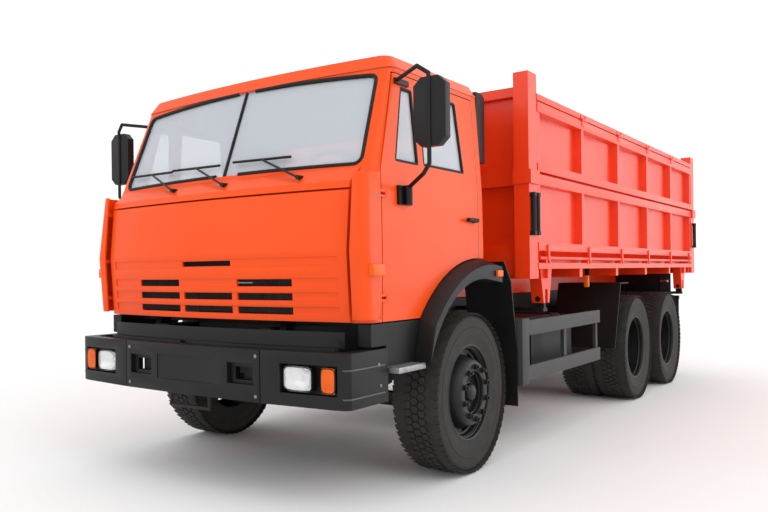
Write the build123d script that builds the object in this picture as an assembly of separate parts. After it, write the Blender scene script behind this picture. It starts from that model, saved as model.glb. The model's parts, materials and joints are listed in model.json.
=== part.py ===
from build123d import *
import math
import os

os.makedirs("parts", exist_ok=True)

# Three-axle cab-over dump truck with a two-way side-tipping bed. Millimetres.
# X points to the truck's left, Y to its rear, Z up. While it is drawn, Y is measured from the
# front axle and Z from the ground; save() moves the origin to the middle of the truck's length.

# ---- driving dimensions ------------------------------------------------------------------
wheelbase = 3690
bogie_spacing = 1320
front_overhang = 1430
bed_front_y = 970
bed_length = 5250
bed_half_width = 1250
front_track = 2050
rear_track = 1890
twin_spacing = 312

tyre_radius = 518
tyre_width = 278
rim_radius = 297
rim_width = 210
rim_wall = 12

rail_spacing = 860
rail_height = 240
rail_flange = 80
rail_wall = 10
rail_top = 980
subframe_height = 100

cab_half_width = 1090
cab_top_half_width = 1040
cab_rear_y = 360
cab_wall = 45
cab_bottom = 1025
belt_z = 1880
cab_floor_z = 1300
roof_edge_z = 2500
roof_height = 105
panel_gap = 8

bed_floor_z = 1400
floor_plate = 8
lower_board_top = 2010
upper_board_top = 2600
board_gap = 20
board_depth = 75
board_skin = 6
post_depth = 165
post_width = 110
post_top = 2740
mid_rail_proud = 12

pivot_x = 1150
pivot_z = 1080
pivot_pin_radius = 22
pin_clearance = 0.05
clearance = 6

# ---- places worked out from them ---------------------------------------------------------
middle_axle_y = wheelbase
rear_axle_y = wheelbase + bogie_spacing
axle_z = tyre_radius
bed_rear_y = bed_front_y + bed_length
centre_y = (bed_rear_y + post_depth + mid_rail_proud - front_overhang) / 2
rail_bottom = rail_top - rail_height
rail_x = rail_spacing / 2
subframe_top = rail_top + subframe_height
frame_front_y = -front_overhang + 230
frame_rear_y = bed_rear_y - 60
rail_inside = rail_x + rail_flange / 2 - rail_wall


# ---- small helpers -----------------------------------------------------------------------
def block(x0, x1, y0, y1, z0, z1):
    """Box between two opposite corners."""
    box = Box(x1 - x0, y1 - y0, z1 - z0)
    return Pos((x0 + x1) / 2, (y0 + y1) / 2, (z0 + z1) / 2) * box


def rod_x(x0, x1, y, z, radius):
    """Cylinder along X."""
    return Pos((x0 + x1) / 2, y, z) * Rot(0, 90, 0) * Cylinder(radius, x1 - x0)


def rod_y(x, y0, y1, z, radius):
    """Cylinder along Y."""
    return Pos(x, (y0 + y1) / 2, z) * Rot(90, 0, 0) * Cylinder(radius, y1 - y0)


def rod_z(x, y, z0, z1, radius):
    """Cylinder along Z."""
    return Pos(x, y, (z0 + z1) / 2) * Cylinder(radius, z1 - z0)


def rod_between(start, end, radius):
    """Cylinder between two points."""
    path = Vector(*end) - Vector(*start)
    place = Plane(origin=start, z_dir=path)
    return place * Pos(0, 0, path.length / 2) * Cylinder(radius, path.length)


def prism_x(points, x0, x1):
    """Outline of (y, z) points drawn out along X."""
    outline = Polyline(*[(x0, y, z) for y, z in points], close=True)
    return extrude(make_face(outline), amount=x1 - x0, dir=(1, 0, 0))


def prism_y(points, y0, y1):
    """Outline of (x, z) points drawn out along Y."""
    outline = Polyline(*[(x, y0, z) for x, z in points], close=True)
    return extrude(make_face(outline), amount=y1 - y0, dir=(0, 1, 0))


def prism_z(points, z0, z1):
    """Outline of (x, y) points drawn out along Z."""
    outline = Polyline(*[(x, y, z0) for x, y in points], close=True)
    return extrude(make_face(outline), amount=z1 - z0, dir=(0, 0, 1))


def mirrored(shape):
    """The same shape on the other side of the truck."""
    return mirror(shape, about=Plane.YZ)


def join(shapes):
    """One welded piece."""
    return Part() + list(shapes)


def group(shapes):
    """Separate solids kept in one node."""
    return Compound([solid for shape in shapes for solid in shape.solids()])


def pair(shape):
    """A piece and its mirror image in one node."""
    return group([shape, mirrored(shape)])


def save(name, shape):
    """Write one node with the origin on the ground at the middle of the length."""
    export_step(group([Pos(0, -centre_y, 0) * shape]), f"parts/{name}.step")


# ---- wheels ------------------------------------------------------------------------------
def tyre(x):
    """Tyre centred at x on the wheel axis; tread face, rounded shoulders and bead seat."""
    half = tyre_width / 2
    bead = rim_width / 2
    tread_half = half - 28
    outline = [
        (rim_radius + rim_wall, -bead),
        (rim_radius + 110, -half),
        (tyre_radius - 55, -half + 6),
        (tyre_radius, -tread_half),
        (tyre_radius, tread_half),
        (tyre_radius - 55, half - 6),
        (rim_radius + 110, half),
        (rim_radius + rim_wall, bead),
    ]
    profile = Polyline(*[(r, 0, s) for r, s in outline], close=True)
    ring = revolve(make_face(profile), axis=Axis.Z)
    return Pos(x, 0, 0) * Rot(0, 90, 0) * ring


def dished_disc(x_rim, x_face, outward):
    """Steel wheel: rim barrel centred at x_rim and a disc whose bolting face lies at x_face.

    outward is +1 where the wheel's outer side points to +X.
    """
    half = rim_width / 2
    seat = rim_radius + rim_wall
    bowl = seat - rim_wall
    face = (x_face - x_rim) * outward
    web = face * web_share
    outline = [
        (bowl, -half - rim_flange),
        (seat, -half - rim_flange),
        (seat, half + rim_flange),
        (bowl, half + rim_flange),
        (bowl, web + disc_thickness),
        (disc_knee_radius, web + disc_thickness),
        (disc_face_radius, face + disc_thickness),
        (hub_bore_radius, face + disc_thickness),
        (hub_bore_radius, face),
        (disc_face_radius - 6, face),
        (disc_knee_radius - 6, web),
        (bowl, web),
    ]
    profile = Polyline(*[(r, 0, s * outward) for r, s in outline], close=True)
    disc = revolve(make_face(profile), axis=Axis.Z)
    place = Pos(x_rim, 0, 0) * Rot(0, 90, 0)
    lo, hi = sorted(((web - 1) * outward, (web + disc_thickness + 1) * outward))
    for n in range(hand_holes):
        turn = Rot(0, 0, 360 / hand_holes * n)
        disc -= turn * rod_z(hand_hole_circle, 0, lo, hi, hand_hole_radius)
    return place * disc


disc_knee_radius = 222
web_share = 0.3
rim_flange = 14
disc_face_radius = 196
hub_bore_radius = 140
disc_thickness = 14
hand_holes = 6
hand_hole_circle = 252
hand_hole_radius = 25
front_disc_offset = 135
rear_disc_offset = 125
stud_count = 10
stud_circle = 167.5
nut_radius = 17
nut_length = 30
hub_recess = 35
front_cap_radius = 58
rear_cap_radius = 94
axle_bore = 41
axle_stub = axle_bore - pin_clearance


def hub(x_inner, x_face, x_cap, cap_radius, outward):
    """Hub drum from the brake side to its cap, bored for the axle stub, with its wheel nuts.

    The drum is hollowed round the cap, so the cap stands in a round recess.
    """
    lo, hi = sorted((x_inner, x_face))
    body = rod_x(lo, hi, 0, 0, hub_bore_radius + 30)
    lo, hi = sorted((x_face - outward * hub_recess, x_face + outward))
    body -= rod_x(lo, hi, 0, 0, hub_bore_radius - 14)
    lo, hi = sorted((x_face - outward * (hub_recess + 1), x_cap))
    body += rod_x(lo, hi, 0, 0, cap_radius)
    bore_end = x_cap - outward * 20
    lo, hi = sorted((x_inner - outward, bore_end))
    body -= rod_x(lo, hi, 0, 0, axle_bore)
    nut_start = x_face + outward * disc_thickness
    lo, hi = sorted((nut_start, nut_start + outward * nut_length))
    nuts = []
    for n in range(stud_count):
        angle = 2 * math.pi * n / stud_count
        nuts.append(rod_x(lo, hi, stud_circle * math.cos(angle), stud_circle * math.sin(angle), nut_radius))
    return body, nuts


front_wheel_x = front_track / 2
rear_outer_x = rear_track / 2 + twin_spacing / 2
rear_inner_x = rear_track / 2 - twin_spacing / 2


def front_wheel(side):
    """Tyre and convex disc wheel of the front axle."""
    x = side * front_wheel_x
    face = x + side * front_disc_offset
    hub_body, nuts = hub(face - side * 215, face, face + side * 15, front_cap_radius, side)
    disc = dished_disc(x, face, side)
    return tyre(x), join([disc, hub_body] + nuts)


def twin_wheel(side):
    """Two tyres and their deep discs, bolted back to back on one hub."""
    outer = side * rear_outer_x
    inner = side * rear_inner_x
    face = side * (rear_outer_x - rear_disc_offset)
    outer_disc = dished_disc(outer, face, side)
    inner_face = face - side * disc_thickness
    inner_disc = dished_disc(inner, inner_face, side)
    hub_body, nuts = hub(face - side * 190, face, face + side * 110, rear_cap_radius, side)
    return group([tyre(outer), tyre(inner)]), join([outer_disc, inner_disc, hub_body] + nuts)


wheel_places = [
    # name, axle y, maker, side
    ("front_left", 0, front_wheel, 1),
    ("front_right", 0, front_wheel, -1),
    ("middle_left", middle_axle_y, twin_wheel, 1),
    ("middle_right", middle_axle_y, twin_wheel, -1),
    ("rear_left", rear_axle_y, twin_wheel, 1),
    ("rear_right", rear_axle_y, twin_wheel, -1),
]
for name, axle_y, make_wheel, side in wheel_places:
    rubber, steel = make_wheel(side)
    save(f"tyre_{name}", Pos(0, axle_y, axle_z) * rubber)
    save(f"wheel_{name}", Pos(0, axle_y, axle_z) * steel)


# ---- front axle, knuckles and steering ---------------------------------------------------
kingpin_x = 850
kingpin_radius = 25
kingpin_bore = kingpin_radius + pin_clearance
beam_height = 90
beam_width = 80
beam_drop = 90
yoke_gap = 150
yoke_thickness = 40
spring_x = rail_x
spring_width = 80
steer_arm_y = 300
rod_pin_radius = 14


def front_axle():
    """Dropped I-beam: low in the middle, rising to the eye that carries each kingpin."""
    low = axle_z - beam_drop
    half = beam_width / 2
    top = low + beam_height / 2
    bottom = low - beam_height / 2
    rise = 110
    points = [
        (-kingpin_x, axle_z + yoke_gap / 2 - clearance),
        (-kingpin_x, axle_z - yoke_gap / 2 + clearance),
        (-kingpin_x + rise, axle_z - yoke_gap / 2 + clearance),
        (-kingpin_x + 2 * rise, bottom),
        (kingpin_x - 2 * rise, bottom),
        (kingpin_x - rise, axle_z - yoke_gap / 2 + clearance),
        (kingpin_x, axle_z - yoke_gap / 2 + clearance),
        (kingpin_x, axle_z + yoke_gap / 2 - clearance),
        (kingpin_x - rise, axle_z + yoke_gap / 2 - clearance),
        (kingpin_x - 2 * rise, top),
        (-kingpin_x + 2 * rise, top),
        (-kingpin_x + rise, axle_z + yoke_gap / 2 - clearance),
    ]
    beam = prism_y(points, -half, half)
    for side in (-1, 1):
        x = side * kingpin_x
        beam += rod_z(x, 0, axle_z - yoke_gap / 2 + clearance, axle_z + yoke_gap / 2 - clearance, half + 8)
        beam -= rod_z(x, 0, axle_z - yoke_gap, axle_z + yoke_gap, kingpin_bore)
        web_lo, web_hi = sorted((side * (kingpin_x - 2 * rise - 40), side * (rail_x + 60)))
        beam -= block(web_lo, web_hi, -half - 1, -half + 25, bottom + 15, top - 15)
    return beam


def knuckle(side):
    """Forked knuckle with its kingpin, axle stub, backing plate and steering arm."""
    x = side * kingpin_x
    fork_x0, fork_x1 = sorted((side * (kingpin_x - 45), side * (kingpin_x + 85)))
    back_x0, back_x1 = sorted((side * (kingpin_x + 57), side * (kingpin_x + 85)))
    top = axle_z + yoke_gap / 2
    low = axle_z - yoke_gap / 2
    body = block(fork_x0, fork_x1, -40, 40, top, top + yoke_thickness)
    body += block(fork_x0, fork_x1, -40, 40, low - yoke_thickness, low)
    body += block(back_x0, back_x1, -60, 60, low - yoke_thickness, top + yoke_thickness)
    body += rod_z(x, 0, low - yoke_thickness, top + yoke_thickness, kingpin_radius)
    stub_start = side * (kingpin_x + 80)
    stub_end = side * (front_wheel_x + front_disc_offset - 10)
    lo, hi = sorted((stub_start, stub_end))
    body += rod_x(lo, hi, 0, axle_z, axle_stub)
    arm_x = x
    arm_z0 = low - yoke_thickness
    body += block(arm_x - 25, arm_x + 25, -40, steer_arm_y + 25, arm_z0 - 22, arm_z0)
    body -= rod_z(arm_x, steer_arm_y, arm_z0 - 40, arm_z0 + 20, rod_pin_radius + pin_clearance)
    return body


def track_rod():
    """Cross tube whose end pins stand in the two steering arms."""
    z = axle_z - yoke_gap / 2 - yoke_thickness - 22 - clearance - 20
    arm_top = axle_z - yoke_gap / 2 - yoke_thickness
    rod = rod_x(-kingpin_x - rod_pin_radius, kingpin_x + rod_pin_radius, steer_arm_y, z, 20)
    left_pin = rod_z(kingpin_x, steer_arm_y, z, arm_top, rod_pin_radius)
    right_pin = rod_z(-kingpin_x, steer_arm_y, z, z + 20 + clearance * 0.5, rod_pin_radius)
    return join([rod, left_pin, right_pin])


# ---- frame -------------------------------------------------------------------------------
cross_member_ys = [-1080, 900, 1900, 3250, middle_axle_y + bogie_spacing / 2, frame_rear_y - 60]
cab_pivot_y = -1160
cab_pivot_z = 930
cab_pivot_x = rail_x + 100
cab_pivot_radius = 20
cab_lug = 50
cab_rest_y0 = 290


def channel(side):
    """Pressed C-section side rail, open towards the middle."""
    outer = side * (rail_x + rail_flange / 2)
    inner = side * (rail_x - rail_flange / 2)
    lo, hi = sorted((outer, inner))
    rail = block(lo, hi, frame_front_y, frame_rear_y, rail_bottom, rail_top)
    open_edge = rail_x - rail_flange / 2 - 1
    web_face = rail_x + rail_flange / 2 - rail_wall
    cut_lo, cut_hi = sorted((side * open_edge, side * web_face))
    rail -= block(
        cut_lo, cut_hi, frame_front_y - 1, frame_rear_y + 1, rail_bottom + rail_wall, rail_top - rail_wall
    )
    return rail


drawbar_plate = 16
drawbar_across = 160
drawbar_up = 100
drawbar_z = rail_bottom + 120
drawbar_hole = 10.5


def frame():
    """Side rails, cross members, cab pivot ears, bumper brackets and the cab's rear rest."""
    pieces = [channel(1), channel(-1)]
    for y in cross_member_ys:
        pieces.append(
            block(-rail_inside, rail_inside, y - 35, y + 35, rail_bottom + 30, rail_bottom + 150)
        )
    for side in (-1, 1):
        for offset in (-cab_lug / 2 - clearance - 12, cab_lug / 2 + clearance):
            ear_x = side * cab_pivot_x + offset
            ear = block(ear_x, ear_x + 12, frame_front_y, cab_pivot_y + 45, rail_bottom + 40, cab_pivot_z + 35)
            ear -= rod_x(ear_x - 1, ear_x + 13, cab_pivot_y, cab_pivot_z, cab_pivot_radius + pin_clearance)
            pieces.append(ear)
        lo, hi = sorted((side * rail_x, side * cab_pivot_x + side * (cab_lug / 2 + clearance + 12)))
        pieces.append(block(lo, hi, frame_front_y, cab_pivot_y + 45, rail_bottom + 40, cab_pivot_z - 50))
        arm_x0 = side * rail_x - rail_flange / 2
        pieces.append(
            block(arm_x0, arm_x0 + rail_flange, -front_overhang + bumper_wall + 15, frame_front_y + 10,
                  rail_bottom - 90, rail_bottom + 50)
        )
    plate_y = frame_rear_y - drawbar_plate
    plate = block(-rail_inside, rail_inside, plate_y, frame_rear_y, rail_bottom + 20, rail_top - 20)
    for x in (-drawbar_across / 2, drawbar_across / 2):
        for z in (drawbar_z - drawbar_up / 2, drawbar_z + drawbar_up / 2):
            plate -= rod_y(x, frame_rear_y - drawbar_plate - 1, frame_rear_y + 1, z, drawbar_hole)
    pieces.append(plate)
    # arch behind the engine that the cab's back rests on
    arch_x = rail_x + 150
    arch_top = cab_underside - clearance
    for side in (-1, 1):
        lo, hi = sorted((side * (rail_x - 40), side * arch_x))
        pieces.append(block(lo, hi, cab_rest_y0, cab_rest_y0 + 60, rail_top - 120, rail_top - 60))
        lo, hi = sorted((side * (arch_x - 60), side * arch_x))
        pieces.append(block(lo, hi, cab_rest_y0, cab_rest_y0 + 60, rail_top - 120, arch_top))
    pieces.append(block(-arch_x, arch_x, cab_rest_y0, cab_rest_y0 + 60, arch_top - 60, arch_top))
    return join(pieces)


cab_underside = cab_floor_z - cab_wall
bumper_wall = 70
bumper_top = 880
bumper_bottom = 583
bumper_half_width = 1105
bumper_side_end = -950
bumper_module = 562
bumper_bends = [(1024, 65), (1085, 85), (bumper_half_width, 110)]
lamp_x = 797
indicator_x = 986
lamp_z = 733
lamp_half_width = 95
lamp_half_height = 68
lamp_depth = 45
lamp_seat = 95
indicator_half_width = 44
indicator_depth = 30
plate_half_width = 265


def bumper():
    """Middle module and two corner modules that wrap round to the sides."""
    depth = bumper_wall
    front = -front_overhang
    outer = [(0, front), (bumper_module, front + 15)]
    outer += [(x, front + back) for x, back in bumper_bends]
    outer += [(bumper_half_width, bumper_side_end)]
    inner = [
        (bumper_half_width - depth, bumper_side_end),
        (bumper_half_width - depth, front + 110 + depth),
        (bumper_bends[0][0] - 30, front + 65 + depth),
        (bumper_module, front + 15 + depth),
        (0, front + 15 + depth),
    ]
    left = prism_z(outer + inner, bumper_bottom, bumper_top)
    whole = join([left, mirrored(left)])
    # recesses of the lamps, the openings beside the plate and the plate's own shallow seat
    recess = 45
    for side in (-1, 1):
        lamp_lo = lamp_x - lamp_half_width - 12
        lamp_hi = indicator_x + indicator_half_width + 12
        lo, hi = sorted((side * lamp_lo, side * lamp_hi))
        whole -= block(lo, hi, front - 5, front + lamp_seat, lamp_z - lamp_half_height - 12,
                       lamp_z + lamp_half_height + 12)
        lo, hi = sorted((side * (plate_half_width + 55), side * (bumper_module - 45)))
        whole -= block(lo, hi, front - 5, front + recess, lamp_z - 55, lamp_z + 65)
        whole -= block(lo + 35, hi - 35, front - 5, front + depth + 20, lamp_z - 35, lamp_z + 40)
    whole -= block(-plate_half_width, plate_half_width, front - 5, front + 12, lamp_z - 72, lamp_z + 82)
    # narrow gaps between the three modules
    for side in (-1, 1):
        seam = side * bumper_module
        whole -= block(seam - 3, seam + 3, front - 5, front + depth - 20, bumper_bottom - 1, bumper_top + 1)
    hoop_z = bumper_bottom - 75
    hoop = [
        rod_z(-160, front + 30, hoop_z, bumper_bottom + 5, 11),
        rod_z(160, front + 30, hoop_z, bumper_bottom + 5, 11),
        rod_x(-171, 171, front + 30, hoop_z, 11),
    ]
    return join([whole] + hoop)


def front_lamps():
    """Headlamp and indicator blocks sunk in the bumper's corners, seated on the recess floor."""
    seat = -front_overhang + lamp_seat
    lamps = []
    for side in (-1, 1):
        for middle, half, depth in (
            (lamp_x, lamp_half_width, lamp_depth),
            (indicator_x, indicator_half_width, indicator_depth),
        ):
            x = side * middle
            lamps.append(block(x - half, x + half, seat - depth, seat,
                               lamp_z - lamp_half_height, lamp_z + lamp_half_height))
    return lamps


valance_y = -1162
valance_sheet = 10
valance_fold = 65
valance_step = 890
valance_top = 975


def bowed_face(z, y, half, bow, depth):
    """Bowed strip at one height: y of its face at the ends, bulge in the middle, depth behind."""
    back = y + depth
    return make_face([
        ThreePointArc((-half, y, z), (0, y - bow, z), (half, y, z)),
        Line((half, y, z), (half, back, z)),
        ThreePointArc((half, back, z), (0, back - bow, z), (-half, back, z)),
        Line((-half, back, z), (-half, y, z)),
    ])


def valance():
    """Two-step bowed panel between the bumper and the grille, on the bumper's brackets."""
    low_y = valance_y - valance_fold
    heights = (valance_step - 5, valance_top)
    upper = loft([bowed_face(z, valance_y, 960, panel_bow, valance_sheet) for z in heights])
    lower = loft([bowed_face(z, low_y, 930, panel_bow, valance_fold) for z in (800, valance_step)])
    stay_y = low_y - panel_bow + 25
    stay_left = block(rail_x - 40, rail_x + 40, stay_y, frame_front_y - 5, rail_bottom + 50, 805)
    piece = join([upper, lower, stay_left, mirrored(stay_left)])
    pocket_y = low_y - panel_bow
    piece -= block(-180, 180, pocket_y - 1, pocket_y + 40, valance_step - 40, valance_step + 10)
    return piece


# ---- springs, rear axles and propeller shafts ---------------------------------------------
bogie_y = middle_axle_y + bogie_spacing / 2
rear_housing_radius = 75
rear_bowl_radius = 190
trunnion_bar_z = 530
trunnion_bar_radius = 29
rear_spring_x = rail_x + 95


def leaf_pack(x, y0, y1, z_mid, rise, leaves, width):
    """Stack of leaves, each shorter than the one above, curved upward at the ends."""
    middle = (y0 + y1) / 2
    stack = []
    for n in range(leaves):
        half = (y1 - y0) / 2 * (1 - n / (leaves + 3))
        top = z_mid - n * 14
        lift = rise * half / ((y1 - y0) / 2)
        stack.append(
            prism_x(
                [
                    (middle - half, top + lift),
                    (middle, top),
                    (middle + half, top + lift),
                    (middle + half, top + lift - 14),
                    (middle, top - 14),
                    (middle - half, top + lift - 14),
                ],
                x - width / 2,
                x + width / 2,
            )
        )
    return join(stack)


def leaf_springs():
    """Long front springs on the axle beam and inverted packs on the bogie's trunnion."""
    seat = axle_z - beam_drop + beam_height / 2
    front = leaf_pack(spring_x, -640, 560, seat + 14 * 8, 90, 8, spring_width)
    for y in (-640, 560):
        front += block(spring_x - spring_width / 2, spring_x + spring_width / 2, y - 25, y + 25,
                       seat + 14 * 8 + 60, rail_bottom)
    saddle = axle_z + rear_housing_radius
    rear = leaf_pack(rear_spring_x, middle_axle_y - 60, rear_axle_y + 60, saddle + 165, -110, 8, 75)
    rail_side = rail_x + rail_flange / 2
    hanger = block(rail_side, rear_spring_x + 40, bogie_y - 110, bogie_y + 110, 470, rail_bottom + 60)
    bore = trunnion_bar_radius + pin_clearance
    hanger -= rod_x(rail_x - 100, rear_spring_x + 100, bogie_y, trunnion_bar_z, bore)
    return group([join([front]), mirrored(front), join([rear, hanger]), mirrored(join([rear, hanger]))])


def rear_axles():
    """Two banjo housings with their stub ends, spring seats, torque arms and shafts between."""
    pieces = []
    tube_end = rear_outer_x - rear_disc_offset - 200
    stub_end = tube_end + 280
    shaft_z = axle_z + 60
    arm_z = axle_z - 30
    for y in (middle_axle_y, rear_axle_y):
        pieces.append(rod_x(-tube_end, tube_end, y, axle_z, rear_housing_radius))
        pieces.append(rod_y(0, y - 110, y + 110, axle_z, rear_bowl_radius))
        pieces.append(rod_y(0, y - 190, y - 105, shaft_z, 70))
        for side in (-1, 1):
            lo, hi = sorted((side * (tube_end - 10), side * stub_end))
            pieces.append(rod_x(lo, hi, y, axle_z, axle_stub))
            x = side * rear_spring_x
            pieces.append(block(x - 45, x + 45, y - 50, y + 50, axle_z, axle_z + rear_housing_radius + 10))
            arm_x = side * (rail_x - 80)
            pieces.append(rod_between((arm_x, y, arm_z), (arm_x, bogie_y, trunnion_bar_z), 22))
    pieces.append(rod_x(-rear_spring_x, rear_spring_x, bogie_y, trunnion_bar_z, trunnion_bar_radius))
    pieces.append(rod_y(0, middle_axle_y + 100, rear_axle_y - 180, shaft_z, 45))
    pieces.append(
        rod_between((0, middle_axle_y - 170, shaft_z), (0, engine_rear_y + clearance, engine_shaft_z), 42)
    )
    whole = pieces[0]
    for piece in pieces[1:]:
        whole += piece
    return whole


engine_front_y = -820
engine_rear_y = 640
engine_half_width = 330
engine_bottom = 640
engine_top = 1215
engine_shaft_z = 700


def engine():
    """Engine and gearbox as plain blocks between the rails, and the radiator in front."""
    motor = block(-engine_half_width, engine_half_width, engine_front_y, 120, engine_bottom, engine_top)
    box = block(-200, 200, 120, engine_rear_y, 640, 960)
    mounts = block(-rail_inside, rail_inside, -100, 0, rail_bottom + 60, rail_bottom + 140)
    radiator = block(-380, 380, engine_front_y - 110, engine_front_y - 30, 760, 1240)
    stay = block(-rail_inside, rail_inside, engine_front_y - 60, engine_front_y, 770, 830)
    return join([motor, box, mounts, radiator, stay])


# ---- what hangs on the frame --------------------------------------------------------------
tank_y0 = 1120
tank_length = 1150
tank_depth = 520
tank_height = 480
tank_corner = 110
strap_width = 40
guard_x = 1205
guard_y0 = 845
guard_y1 = 2520
guard_top = 955
guard_bottom = 480
air_tank_radius = 130
battery_y0 = 1120
battery_length = 620
silencer_y0 = 1000
mudguard_gap = 70


def fuel_tank():
    """Rounded fuel tank on the left rail, held by straps and a bracket shelf."""
    x0 = rail_x + rail_flange / 2 + 60
    x1 = x0 + tank_depth
    z0 = 440
    z1 = z0 + tank_height
    c = tank_corner
    outline = [(x0 + c, z0), (x1 - c, z0), (x1, z0 + c), (x1, z1 - c), (x1 - c, z1), (x0 + c, z1), (x0, z1 - c),
               (x0, z0 + c)]
    tank = prism_y(outline, tank_y0, tank_y0 + tank_length)
    grow = 10
    strap_line = [(x0 + c, z0 - grow), (x1 - c, z0 - grow), (x1 + grow, z0 + c), (x1 + grow, z1 - c),
                  (x1 - c, z1 + grow), (x0 + c, z1 + grow), (x0 - grow, z1 - c), (x0 - grow, z0 + c)]
    pieces = [tank]
    for y in (tank_y0 + 180, tank_y0 + tank_length - 220):
        pieces.append(prism_y(strap_line, y, y + strap_width))
        pieces.append(block(rail_x + rail_flange / 2, x0 + 5, y, y + strap_width, rail_bottom + 10, z1 - c))
    pieces.append(rod_z((x0 + x1) / 2, tank_y0 + 130, z1 - 10, z1 + 45, 55))
    return join(pieces)


def air_tanks():
    """Compressed-air bottles slung from the right rail."""
    bottles = []
    x = -(rail_x + rail_flange / 2 + 60 + air_tank_radius)
    for y in (battery_y0 + battery_length + 60, battery_y0 + battery_length + 420):
        bottle = rod_y(x, y, y + 330, 700, air_tank_radius)
        hanger = block(x, -(rail_x + rail_flange / 2), y + 130, y + 170, 800, 860)
        bottles.append(join([bottle, hanger]))
    return bottles


def tanks():
    return group([fuel_tank()] + air_tanks())


def side_guards():
    """Two-rail guards between the wheels, each carried by a deep front post and two arms."""
    y_mid = guard_y0 + 800
    post = block(guard_x - 110, guard_x + 15, guard_y0 - 130, guard_y0, guard_bottom, guard_top)
    post -= block(guard_x - 90, guard_x - 5, guard_y0 - 110, guard_y0 + 1, guard_bottom - 1, guard_top - 15)
    upper = block(guard_x - 10, guard_x + 15, guard_y0 - 5, guard_y1, guard_top - 125, guard_top - 15)
    lower = block(guard_x - 10, guard_x + 15, guard_y0 - 5, guard_y1, guard_bottom + 20, guard_bottom + 130)
    pieces = [post, upper, lower]
    for y in (guard_y0 - 125, guard_y1 - 60):
        pieces.append(block(rail_x + rail_flange / 2, guard_x - 5, y, y + 50, 860, 900))
    pieces.append(block(guard_x - 30, guard_x - 5, guard_y1 - 60, guard_y1 - 10, guard_bottom + 20, 900))
    pieces.append(block(guard_x - 35, guard_x - 8, y_mid, y_mid + 60, guard_bottom + 20, guard_top - 15))
    return pair(join(pieces))


def battery_box():
    """Box with a lid on the right rail."""
    x1 = -(rail_x + rail_flange / 2)
    body = block(x1 - 560, x1 - 60, battery_y0, battery_y0 + battery_length, 520, 820)
    lid = block(x1 - 570, x1 - 50, battery_y0 - 10, battery_y0 + battery_length + 10, 820, 860)
    shelf = block(x1 - 80, x1, battery_y0 + 60, battery_y0 + battery_length - 60, 760, 800)
    return join([body, lid, shelf])


silencer_z = 510


def silencer():
    """Silencer drum across the frame behind the gearbox, with its tail pipe."""
    drum_y = silencer_y0 + 110
    drum = rod_x(-330, 330, drum_y, silencer_z, 110)
    straps = [
        block(x - 20, x + 20, drum_y - 20, drum_y + 20, silencer_z + 90, rail_bottom + 60)
        for x in (-240, 240)
    ]
    bars = [block(x0, x1, drum_y - 20, drum_y + 20, rail_bottom + 40, rail_bottom + 80)
            for x0, x1 in ((-rail_inside, -220), (220, rail_inside))]
    pipe = rod_y(-200, drum_y + 60, drum_y + 700, silencer_z, 45)
    return join([drum, pipe] + bars + straps)


def mudguards():
    """Flat guards over and in front of the twin wheels, flaps behind, and rear halves in front."""
    x0 = rear_inner_x - tyre_width / 2 - 10
    x1 = rear_outer_x + tyre_width / 2 - 15
    t = 8
    nose_top = 1170
    front = middle_axle_y - tyre_radius - mudguard_gap
    nose = prism_x(
        [
            (front - 150, 560),
            (front - 150 + t, 560),
            (front + 60 + t, nose_top - t),
            (front + 330, nose_top - t),
            (front + 330, nose_top),
            (front + 60, nose_top),
        ],
        x0,
        x1,
    )
    pieces = [nose]
    pieces.append(block(rail_x + rail_flange / 2, x0 + 50, front + 90, front + 130, 900, 940))
    pieces.append(block(x0 + 10, x0 + 50, front + 90, front + 130, 900, nose_top - 4))
    flap_y = rear_axle_y + tyre_radius + 60
    pieces.append(block(x0, x1, flap_y, flap_y + t, 330, 960))
    pieces.append(block(rail_x + rail_flange / 2, x1, flap_y, flap_y + 40, 930, 975))
    rear_set = join(pieces)
    # rear half of each front arch, with its own flap
    y0 = arch_rear_y + 25
    shell = prism_x(
        [
            (y0, arch_top_z - 20),
            (y0 + 10, arch_top_z - 20),
            (y0 + 130, arch_top_z - 160),
            (y0 + 230, 720),
            (y0 + 230, 335),
            (y0 + 220, 335),
            (y0 + 220, 720),
            (y0 + 120, arch_top_z - 164),
        ],
        840,
        arch_outer_x,
    )
    stay = rod_x(rail_x + rail_flange / 2, 850, y0 + 200, 900, 20)
    front_set = join([shell, stay])
    return group([pair(rear_set), pair(front_set)])


def tail_lamps():
    """Tail lamp blocks on a cross bar behind the frame, with the underrun bar below."""
    y = frame_rear_y
    pieces = [block(-1100, 1100, y - 20, y + 60, 470, 560)]
    for side in (-1, 1):
        x = side * rail_x
        pieces.append(block(x - 40, x + 40, y, y + 30, 540, 980))
        lo, hi = sorted((side * rail_x, side * 1050))
        pieces.append(block(lo, hi, y, y + 60, 840, 900))
        x = side * 900
        pieces.append(block(x - 170, x + 170, y + 60, y + 110, 815, 925))
    return join(pieces)


# ---- cab ----------------------------------------------------------------------------------
arch_outer_x = 1190
arch_rear_y = 445
arch_top_z = 1385
lip_gap = 8
cab_nose_y = -1120
cab_sections = [
    # height, half width, y of the front at the corner, bow of the front
    (cab_bottom, cab_half_width - 5, cab_nose_y, 76),
    (1430, cab_half_width, cab_nose_y - 20, 78),
    (1765, cab_half_width - 4, cab_nose_y + 10, 74),
    (belt_z, cab_half_width - 8, -1035, 64),
    (roof_edge_z, cab_top_half_width, -775, 66),
]
roof_sections = [
    (roof_edge_z, cab_top_half_width + 6, -783, 66),
    (roof_edge_z + 80, cab_top_half_width - 45, -742, 62),
    (roof_edge_z + roof_height, cab_top_half_width - 130, -640, 50),
    (roof_edge_z + roof_height + 55, cab_top_half_width - 420, -420, 30),
]
cab_corner = 70
windscreen = [
    # half width, height at the corner, how much higher the middle is
    (990, 1908, 12),
    (962, 2452, 38),
]
windscreen_corner = 45
glass_thickness = 6
glass_inset = 12
seal_gap = 0.3
door_front_low = -967
door_front_top = -749
door_rear_y = 285
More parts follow.
